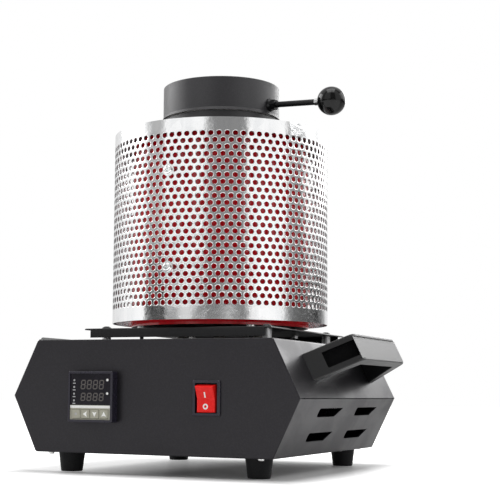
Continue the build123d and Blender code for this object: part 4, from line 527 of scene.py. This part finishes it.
def guard_sheet():
    """Perforated sheet. A hole's edge is c + r(cos t, sin t) at twelve values of t, in arc length and height;
    twelve quads join it to the corners and sides of its cell, which is one pitch wide and one row high. Odd
    rows stand half a pitch on. The flat pattern is rolled: angle = arc length / radius."""
    step = 2 * math.pi / HOLES_ROUND
    quarter = step / LINES
    start = math.radians(FIRST_HOLE)
    width = LINES * HOLES_ROUND
    columns = np.arange(width)
    line_angles = start + columns * quarter
    top_line = FIRST_ROW + ROW_PITCH / 2
    heights = np.concatenate([[GUARD_HIGH], top_line - ROW_PITCH * np.arange(HOLE_ROWS + 1), [GUARD_LOW]])
    rows = np.arange(HOLE_ROWS)
    holes = np.arange(HOLES_ROUND)
    centre_column = (LINES * holes[None, :] + LINES // 2 * (rows[:, None] % 2)) % width
    centre_angle = start + centre_column * quarter
    centre_height = np.broadcast_to((FIRST_ROW - ROW_PITCH * rows)[:, None], centre_angle.shape)
    t = np.arange(RIM_POINTS) * 2 * math.pi / RIM_POINTS
    rim_angle = centre_angle[..., None] + HOLE_RADIUS * np.cos(t) / GUARD_OUTSIDE
    rim_height = centre_height[..., None] + HOLE_RADIUS * np.sin(t)
    side_angle = centre_angle + step / 2
    sheets = []
    for radius in (GUARD_OUTSIDE, GUARD_INSIDE):
        lines = wrap(radius, line_angles[None, :], heights[:, None]).reshape(-1, 3)
        sides = wrap(radius, side_angle, centre_height).reshape(-1, 3)
        rims = wrap(radius, rim_angle, rim_height).reshape(-1, 3)
        sheets.append(np.concatenate([lines, sides, rims]))
    points = np.concatenate(sheets)
    half = len(sheets[0])

    def line_index(line, column):
        return line * width + column % width

    side_start = len(heights) * width
    rim_start = side_start + HOLE_ROWS * HOLES_ROUND
    above = (rows + 1)[:, None]
    below = (rows + 2)[:, None]
    right_side = side_start + rows[:, None] * HOLES_ROUND + holes[None, :]
    left_side = side_start + rows[:, None] * HOLES_ROUND + (holes[None, :] - 1) % HOLES_ROUND
    c = centre_column
    ring = np.stack([right_side, line_index(above, c + 2), line_index(above, c + 1), line_index(above, c),
                     line_index(above, c - 1), line_index(above, c - 2), left_side, line_index(below, c - 2),
                     line_index(below, c - 1), line_index(below, c), line_index(below, c + 1),
                     line_index(below, c + 2)], axis=-1)
    rim = rim_start + np.arange(HOLE_ROWS * HOLES_ROUND * RIM_POINTS).reshape(HOLE_ROWS, HOLES_ROUND, -1)
    ring_next, rim_next = np.roll(ring, -1, axis=-1), np.roll(rim, -1, axis=-1)
    cells = np.stack([ring, ring_next, rim_next, rim], axis=-1).reshape(-1, 4)
    walls = np.stack([rim, rim_next, rim_next + half, rim + half], axis=-1).reshape(-1, 4)
    low = np.array([1, len(heights) - 1])[:, None]
    bands = np.stack([line_index(low, columns), line_index(low, columns + 1),
                      line_index(low - 1, columns + 1), line_index(low - 1, columns)], axis=-1).reshape(-1, 4)
    top = line_index(0, columns)
    top_next = line_index(0, columns + 1)
    foot = line_index(len(heights) - 1, columns)
    foot_next = line_index(len(heights) - 1, columns + 1)
    top_edge = np.stack([top, top_next, top_next + half, top + half], axis=-1)
    foot_edge = np.stack([foot_next, foot, foot + half, foot_next + half], axis=-1)
    outer = np.concatenate([cells, bands])
    faces = np.concatenate([outer, outer[:, ::-1] + half, walls, top_edge, foot_edge])
    mesh = sheet_mesh("perforated_guard", points, faces, SHARP_ANGLE)
    on_rim = (np.arange(len(points)) % half >= rim_start).astype(np.float32)
    mesh.attributes.new(PUNCH_EDGE, "FLOAT", "POINT").data.foreach_set("value", on_rim)
    sheet = add_piece("perforated_guard", mesh, PUNCHED_SHEET, "housing")
    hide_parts("guard")


# ---- prints and small marks ------------------------------------------------------------------------------
PRINT_SUNK = 0.02           # how far a print goes into the face that it is on
FLAT_PRINT, STRIPE_PRINT, ROCKER_PRINT, LAMP_LENS = 0.05, 0.08, 0.06, 0.12     # how far each stands out
DIGIT_ROWS = ((83.9, 9.0), (72.3, 7.8))     # height of a row's middle, and of its digits
DIGITS = 4                  # in a row
FIRST_DIGIT = -7.9          # from the controller's middle, as the other places across it
DIGIT_PITCH = 6.6
DIGIT_WIDTH = 5.2
SEGMENT_WIDTH = 1.15
DIGIT_SLANT = 6             # degrees
STATUS_X = -17.8
STATUS_DROP = 6.4           # first status lamp under the window's top
STATUS_PITCH = 6.35
STATUS_LAMPS = 4
STATUS_RADIUS = 0.95
DASH_DROP = 2.8             # dash under its lamp
DASH_WIDTH, DASH_HEIGHT = 3.0, 0.9
OUTPUT_X = 18.2
OUTPUT_HEIGHTS = (88.3, 75.6)
OUTPUT_RADIUS = 1.2
PRINT_MARGIN = 0.1          # round the light stripe
KEY_PROUD = 0.6
KEY_SYMBOLS = {             # outlines from a key's middle, for the keys from left to right
    "shift_key": [(-2.5, 0), (1.9, -2.8), (1.3, 0), (1.9, 2.8)],
    "down_key": [(0, -2.6), (2.4, 2.1), (0, 1.5), (-2.4, 2.1)],
    "up_key": [(0, 2.6), (-2.6, -2.1), (0, -1.5), (2.6, -2.1)],
}
SET_DOT_RADIUS, SET_DOT_SIDES = 1.3, 12
OFF_RING, OFF_HOLE = 2.6, 1.3       # radii
RING_SIDES = 24
OFF_DROP = 7.6              # ring's middle under the controls' line
ON_RISE = 4.2               # stroke's middle over the fold
ON_WIDTH, ON_HEIGHT = 1.3, 5.4


def plates(name, outlines, face, proud, finish, body, place=None):
    """Thin plates on a face: each outline in x and z, counter-clockwise seen from the front, carried from
    inside the face at y = face to where it stands proud. outlines has the shape (plates, points, 2)."""
    outlines = np.asarray(outlines, float)
    shapes, count = outlines.shape[:2]
    near = np.stack([outlines[..., 0], np.full((shapes, count), face - proud), outlines[..., 1]], axis=-1)
    far = near.copy()
    far[..., 1] = face + PRINT_SUNK
    points = np.concatenate([near.reshape(-1, 3), far.reshape(-1, 3)])
    if place is not None:
        points = place(points)
    first = (np.arange(shapes) * count)[:, None] + np.arange(count)
    following = np.roll(first, -1, axis=1)
    total = shapes * count
    sides = np.stack([following, first, first + total, following + total], axis=-1).reshape(-1, 4)
    mesh = bpy.data.meshes.new(name)
    caps = [list(ring) for ring in first] + [list(ring[::-1] + total) for ring in first]
    mesh.from_pydata((points * MM).tolist(), [], caps + sides.tolist())
    mesh.update()
    add_piece(name, mesh, finish, body)


def oblong(x, z, width, height):
    """Corners of a rectangle, counter-clockwise seen from the front."""
    w, h = width / 2, height / 2
    return [(x - w, z - h), (x + w, z - h), (x + w, z + h), (x - w, z + h)]


def seven_segments(x, z, width, height, bar):
    """Seven six-sided bars of a leaning digit, as an array (7, 6, 2)."""
    w, h, b = width / 2, height / 2, bar / 2
    flat = np.array([(-w + b, 0), (-w + 2 * b, -b), (w - 2 * b, -b), (w - b, 0), (w - 2 * b, b),
                     (-w + 2 * b, b)])
    tip, shoulder = h / 2 - 0.6 * b, h / 2 - 1.6 * b
    tall = np.array([(0, -tip), (b, -shoulder), (b, shoulder), (0, tip), (-b, shoulder), (-b, -shoulder)])
    bars = [flat + (0, dz) for dz in (-h + b, 0, h - b)]
    bars += [tall + (dx, dz) for dx in (-w + b, w - b) for dz in (-h / 2 + b / 2, h / 2 - b / 2)]
    bars = np.array(bars)
    bars[..., 0] += bars[..., 1] * math.tan(math.radians(DIGIT_SLANT))
    return bars + (x, z)


def disc(x, z, radius, sides=20):
    """Round outline, counter-clockwise seen from the front."""
    turn = np.arange(sides) * 2 * math.pi / sides
    return np.stack([x + radius * np.cos(turn), z + radius * np.sin(turn)], axis=-1)


def controller_details():
    """Unlit digits, status lamps with a dash under each, the light stripe and the key symbols."""
    digits = []
    for z, height in DIGIT_ROWS:
        for index in range(DIGITS):
            x = CONTROLLER_X + FIRST_DIGIT + index * DIGIT_PITCH
            digits.append(seven_segments(x, z, DIGIT_WIDTH, height, SEGMENT_WIDTH))
    plates("display_digits", np.concatenate(digits), FACE_Y, FLAT_PRINT, DIGIT_GREY, "housing")
    x = CONTROLLER_X + STATUS_X
    heights = [WINDOW_TOP - STATUS_DROP - STATUS_PITCH * index for index in range(STATUS_LAMPS)]
    lenses = [disc(x, z, STATUS_RADIUS) for z in heights]
    plates("status_lamps", lenses, FACE_Y, LAMP_LENS, PRINT_GREY, "housing")
    dashes = [oblong(x, z - DASH_DROP, DASH_WIDTH, DASH_HEIGHT) for z in heights]
    plates("lamp_dashes", dashes, FACE_Y, FLAT_PRINT, PRINT_GREY, "housing")
    lenses = [disc(CONTROLLER_X + OUTPUT_X, z, OUTPUT_RADIUS) for z in OUTPUT_HEIGHTS]
    plates("output_lamps", lenses, FACE_Y, LAMP_LENS, PRINT_WHITE, "housing")
    stripe = oblong(CONTROLLER_X, STRIPE_Z, FACE_WIDTH - 2 * PRINT_MARGIN, STRIPE_HEIGHT - PRINT_MARGIN)
    plates("light_stripe", [stripe], FACE_Y, STRIPE_PRINT, PRINT_WHITE, "housing")
    symbols = {"set_key": disc(0, 0, SET_DOT_RADIUS, SET_DOT_SIDES), **KEY_SYMBOLS}
    middle_key = (len(symbols) - 1) / 2
    for index, (body, outline) in enumerate(symbols.items()):
        x = CONTROLLER_X + (index - middle_key) * KEY_PITCH
        finish = PRINT_GREY if body == "set_key" else PRINT_WHITE
        symbol = np.array(outline) + (x, KEY_Z)
        plates(body + "_symbol", [symbol], FACE_Y - KEY_PROUD, FLAT_PRINT, finish, body)


def switch_marks():
    """The on stroke on the rocker's upper half and the off ring on its lower half."""
    ring = disc(0, 0, OFF_RING, RING_SIDES)
    hole = disc(0, 0, OFF_HOLE, RING_SIDES)
    quads = np.stack([np.roll(hole, -1, axis=0), hole, ring, np.roll(ring, -1, axis=0)], axis=1)
    quads += (SWITCH_X, CONTROL_Z - OFF_DROP)
    plates("off_mark", quads, ROCKER_FACE_Y, ROCKER_PRINT, PRINT_WHITE, "rocker")
    stroke = oblong(SWITCH_X, ROCKER_FOLD_Z + ON_RISE, ON_WIDTH, ON_HEIGHT)
    plates("on_mark", [stroke], ROCKER_FACE_Y, ROCKER_PRINT, PRINT_WHITE, "rocker",
           place=upper_rocker_face)


def upper_rocker_face(points):
    """Turns points made on the lower face's plane about the fold, to lean out with the upper face."""
    lean = math.radians(2 * ROCKER_TILT)
    rise = points[:, 2] - ROCKER_FOLD_Z
    depth = points[:, 1] - ROCKER_FACE_Y
    turned = points.copy()
    turned[:, 2] = ROCKER_FOLD_Z + rise * math.cos(lean) + depth * math.sin(lean)
    turned[:, 1] = ROCKER_FACE_Y - rise * math.sin(lean) + depth * math.cos(lean)
    return turned


# ---- studio ----------------------------------------------------------------------------------------------
FLOOR_HALF = 6.0            # metres, half the bench's side
FLOOR_GREY = 0.80
MIRRORED_GREY = 0.40        # the bench's colour in reflections, under its glow
WORLD_LIGHT = 0.6           # strength of the world as light
LOW_LEVEL, HIGH_LEVEL = 0.075, 0.125    # Z of a direction, between which the bands change
# Grey bands that reflections see, as (bearing in degrees, level); 0 is -Y and 90 is +X.
NEAR_BENCH = ((-180, 0.9), (-150, 0.7), (-100, 0.9), (-75, 1.0), (-63, 1.0), (-59, 0.04), (-37, 0.04),
              (-33, 0.28), (-22, 0.28), (-16, 0.65), (-9, 0.65), (-1, 0.33), (5, 0.17), (22, 0.17),
              (30, 0.45), (37, 0.45), (43, 0.2), (50, 0.2), (57, 0.8), (66, 1.0), (90, 1.0), (99, 0.33),
              (107, 0.13), (126, 0.08), (137, 0.04), (152, 0.04), (168, 0.4), (180, 0.9))
ABOVE = ((-180, 1.0), (-150, 0.7), (-100, 0.9), (-63, 1.0), (-57, 0.45), (-42, 0.45), (-36, 1.0), (7, 1.0),
         (12, 0.35), (17, 0.24), (48, 0.24), (54, 1.0), (96, 1.0), (102, 0.3), (120, 0.3), (128, 1.0),
         (180, 1.0))
LAMP_AIM = (0, 0, 0.2)
# Softboxes: place, width and height in metres, and watts.
SOFTBOXES = {
    "left_softbox": ((-1.75, -0.1, 1.2), 1.4, 1.0, 18),
    "right_softbox": ((1.45, 0.9, 1.2), 1.4, 1.0, 8),
    "top_softbox": ((0.1, -0.3, 2.2), 1.4, 1.4, 16),
    "rear_softbox": ((0.35, 2.0, 1.0), 1.2, 0.8, 10),
}


def floor():
    """Pale bench that keeps the furnace's shadow. The camera and reflections see a glow on it, near white away
    from the housing and little at its outline. The camera also sees painted light under the housing, a glow
    that grows towards the left, and reflections see less glow towards the rear."""
    mesh = bpy.data.meshes.new("floor")
    corners = ((-1, -1), (1, -1), (1, 1), (-1, 1))
    mesh.from_pydata([(x * FLOOR_HALF, y * FLOOR_HALF, 0.0) for x, y in corners], [], [(0, 1, 2, 3)])
    made, tree, shader = blank("floor_white", Roughness=0.42)
    path = tree.nodes.new("ShaderNodeLightPath")
    mirrored = math_node(tree, "MAXIMUM", path.outputs["Is Glossy Ray"], path.outputs["Is Transmission Ray"])
    base = blend_colours(tree, mirrored, (FLOOR_GREY,) * 3, (MIRRORED_GREY,) * 3)
    tree.links.new(base, shader.inputs["Base Color"])
    x, y = split(tree, object_place(tree))[:2]
    past_side = math_node(tree, "SUBTRACT", math_node(tree, "ABSOLUTE", x), BASE_HALF_WIDTH * MM)
    past_end = math_node(tree, "SUBTRACT", distance_from(tree, y, BASE_MIDDLE_Y * MM),
                         (REAR_Y - FRONT_Y) / 2 * MM)
    outside = math_node(tree, "MAXIMUM", past_side, past_end)
    # painted light: a glow under the housing, stronger towards the left, stands in for light coming in under
    # it
    painted_light_from_left = spread(tree, x, low=-0.12, high=0.02, out_low=0.40, out_high=0.02)
    past_front = spread(tree, y, low=FRONT_Y * MM, high=FRONT_Y * MM + 0.03)
    under = math_node(tree, "MULTIPLY", painted_light_from_left, past_front)
    around = spread(tree, outside, low=0.0, high=0.06, out_low=0.0, out_high=0.75)
    glow = math_node(tree, "MAXIMUM", under, around)
    shown = math_node(tree, "MULTIPLY", path.outputs["Is Camera Ray"], glow)
    near = spread(tree, outside, low=0.0, high=0.12, out_low=0.10, out_high=0.95)
    to_rear = spread(tree, y, low=-0.05, high=0.30, out_low=1.0, out_high=0.15)
    glossy = math_node(tree, "MULTIPLY", mirrored, math_node(tree, "MULTIPLY", near, to_rear))
    shader.inputs["Emission Color"].default_value = (1, 1, 1, 1)
    tree.links.new(math_node(tree, "ADD", shown, glossy), shader.inputs["Emission Strength"])
    mesh.materials.append(made)
    obj = place_object("floor", mesh)


def level_ramp(tree, bearing, stops):
    """Grey level of a bearing, from 0 at -180 degrees to 1 at 180, by (degrees, level) stops."""
    ramp = tree.nodes.new("ShaderNodeValToRGB")
    tree.links.new(bearing, ramp.inputs["Fac"])
    elements = ramp.color_ramp.elements
    while len(elements) < len(stops):
        elements.new(0.5)
    for element, (angle, level) in zip(elements, stops):
        element.position = angle / 360 + 0.5
        element.color = (level, level, level, 1)
    return ramp.outputs["Color"]


def background(tree, strength):
    """A white Background node."""
    made = node(tree, "ShaderNodeBackground", Strength=strength)
    made.inputs["Color"].default_value = (1, 1, 1, 1)
    return made


def mix_shaders(tree, factor, a, b):
    """Shader a where factor is 0, b where it is 1; returns the output."""
    made = tree.nodes.new("ShaderNodeMixShader")
    for index, socket in enumerate((factor, a, b)):
        tree.links.new(socket, made.inputs[index])
    return made.outputs[0]


def world():
    """White to the camera and through glass, weaker white as light. Reflections see grey bands by bearing,
    one set near the bench and one above it."""
    made = bpy.data.worlds.new("studio")
    bpy.context.scene.world = made
    made.use_nodes = True
    tree = made.node_tree
    tree.nodes.clear()
    out = tree.nodes.new("ShaderNodeOutputWorld")
    path = tree.nodes.new("ShaderNodeLightPath")
    x, y, z = split(tree, tree.nodes.new("ShaderNodeTexCoord").outputs["Generated"])
    turn = math_node(tree, "ARCTAN2", x, math_node(tree, "MULTIPLY", y, -1.0))
    bearing = math_node(tree, "ADD", math_node(tree, "DIVIDE", turn, 2 * math.pi), 0.5)
    height = spread(tree, z, LOW_LEVEL, HIGH_LEVEL)
    near_bench = level_ramp(tree, bearing, NEAR_BENCH)
    bands = blend_colours(tree, height, near_bench, level_ramp(tree, bearing, ABOVE))
    mirror = background(tree, 1.0)
    tree.links.new(bands, mirror.inputs["Color"])
    unseen = mix_shaders(tree, path.outputs["Is Glossy Ray"], background(tree, WORLD_LIGHT).outputs[0],
                         mirror.outputs[0])
    seen = math_node(tree, "MAXIMUM", path.outputs["Is Camera Ray"], path.outputs["Is Transmission Ray"])
    tree.links.new(mix_shaders(tree, seen, unseen, background(tree, 1.0).outputs[0]), out.inputs[0])


def lamps():
    """A softbox at the left, one at the right behind, one overhead and a weak one at the back."""
    for name, (spot, width, height, power) in SOFTBOXES.items():
        data = bpy.data.lights.new(name, "AREA")
        data.shape = "RECTANGLE"
        data.size = width
        data.size_y = height
        data.energy = power
        obj = place_object(name, data)
        obj.location = spot
        obj.rotation_euler = (Vector(LAMP_AIM) - Vector(spot)).to_track_quat("-Z", "Y").to_euler()


def main():
    """Builds the scene."""
    bpy.context.scene.view_settings.view_transform = "Standard"
    camera()
    dress_nodes()
    guard_sheet()
    controller_details()
    switch_marks()
    floor()
    world()
    lamps()


main()
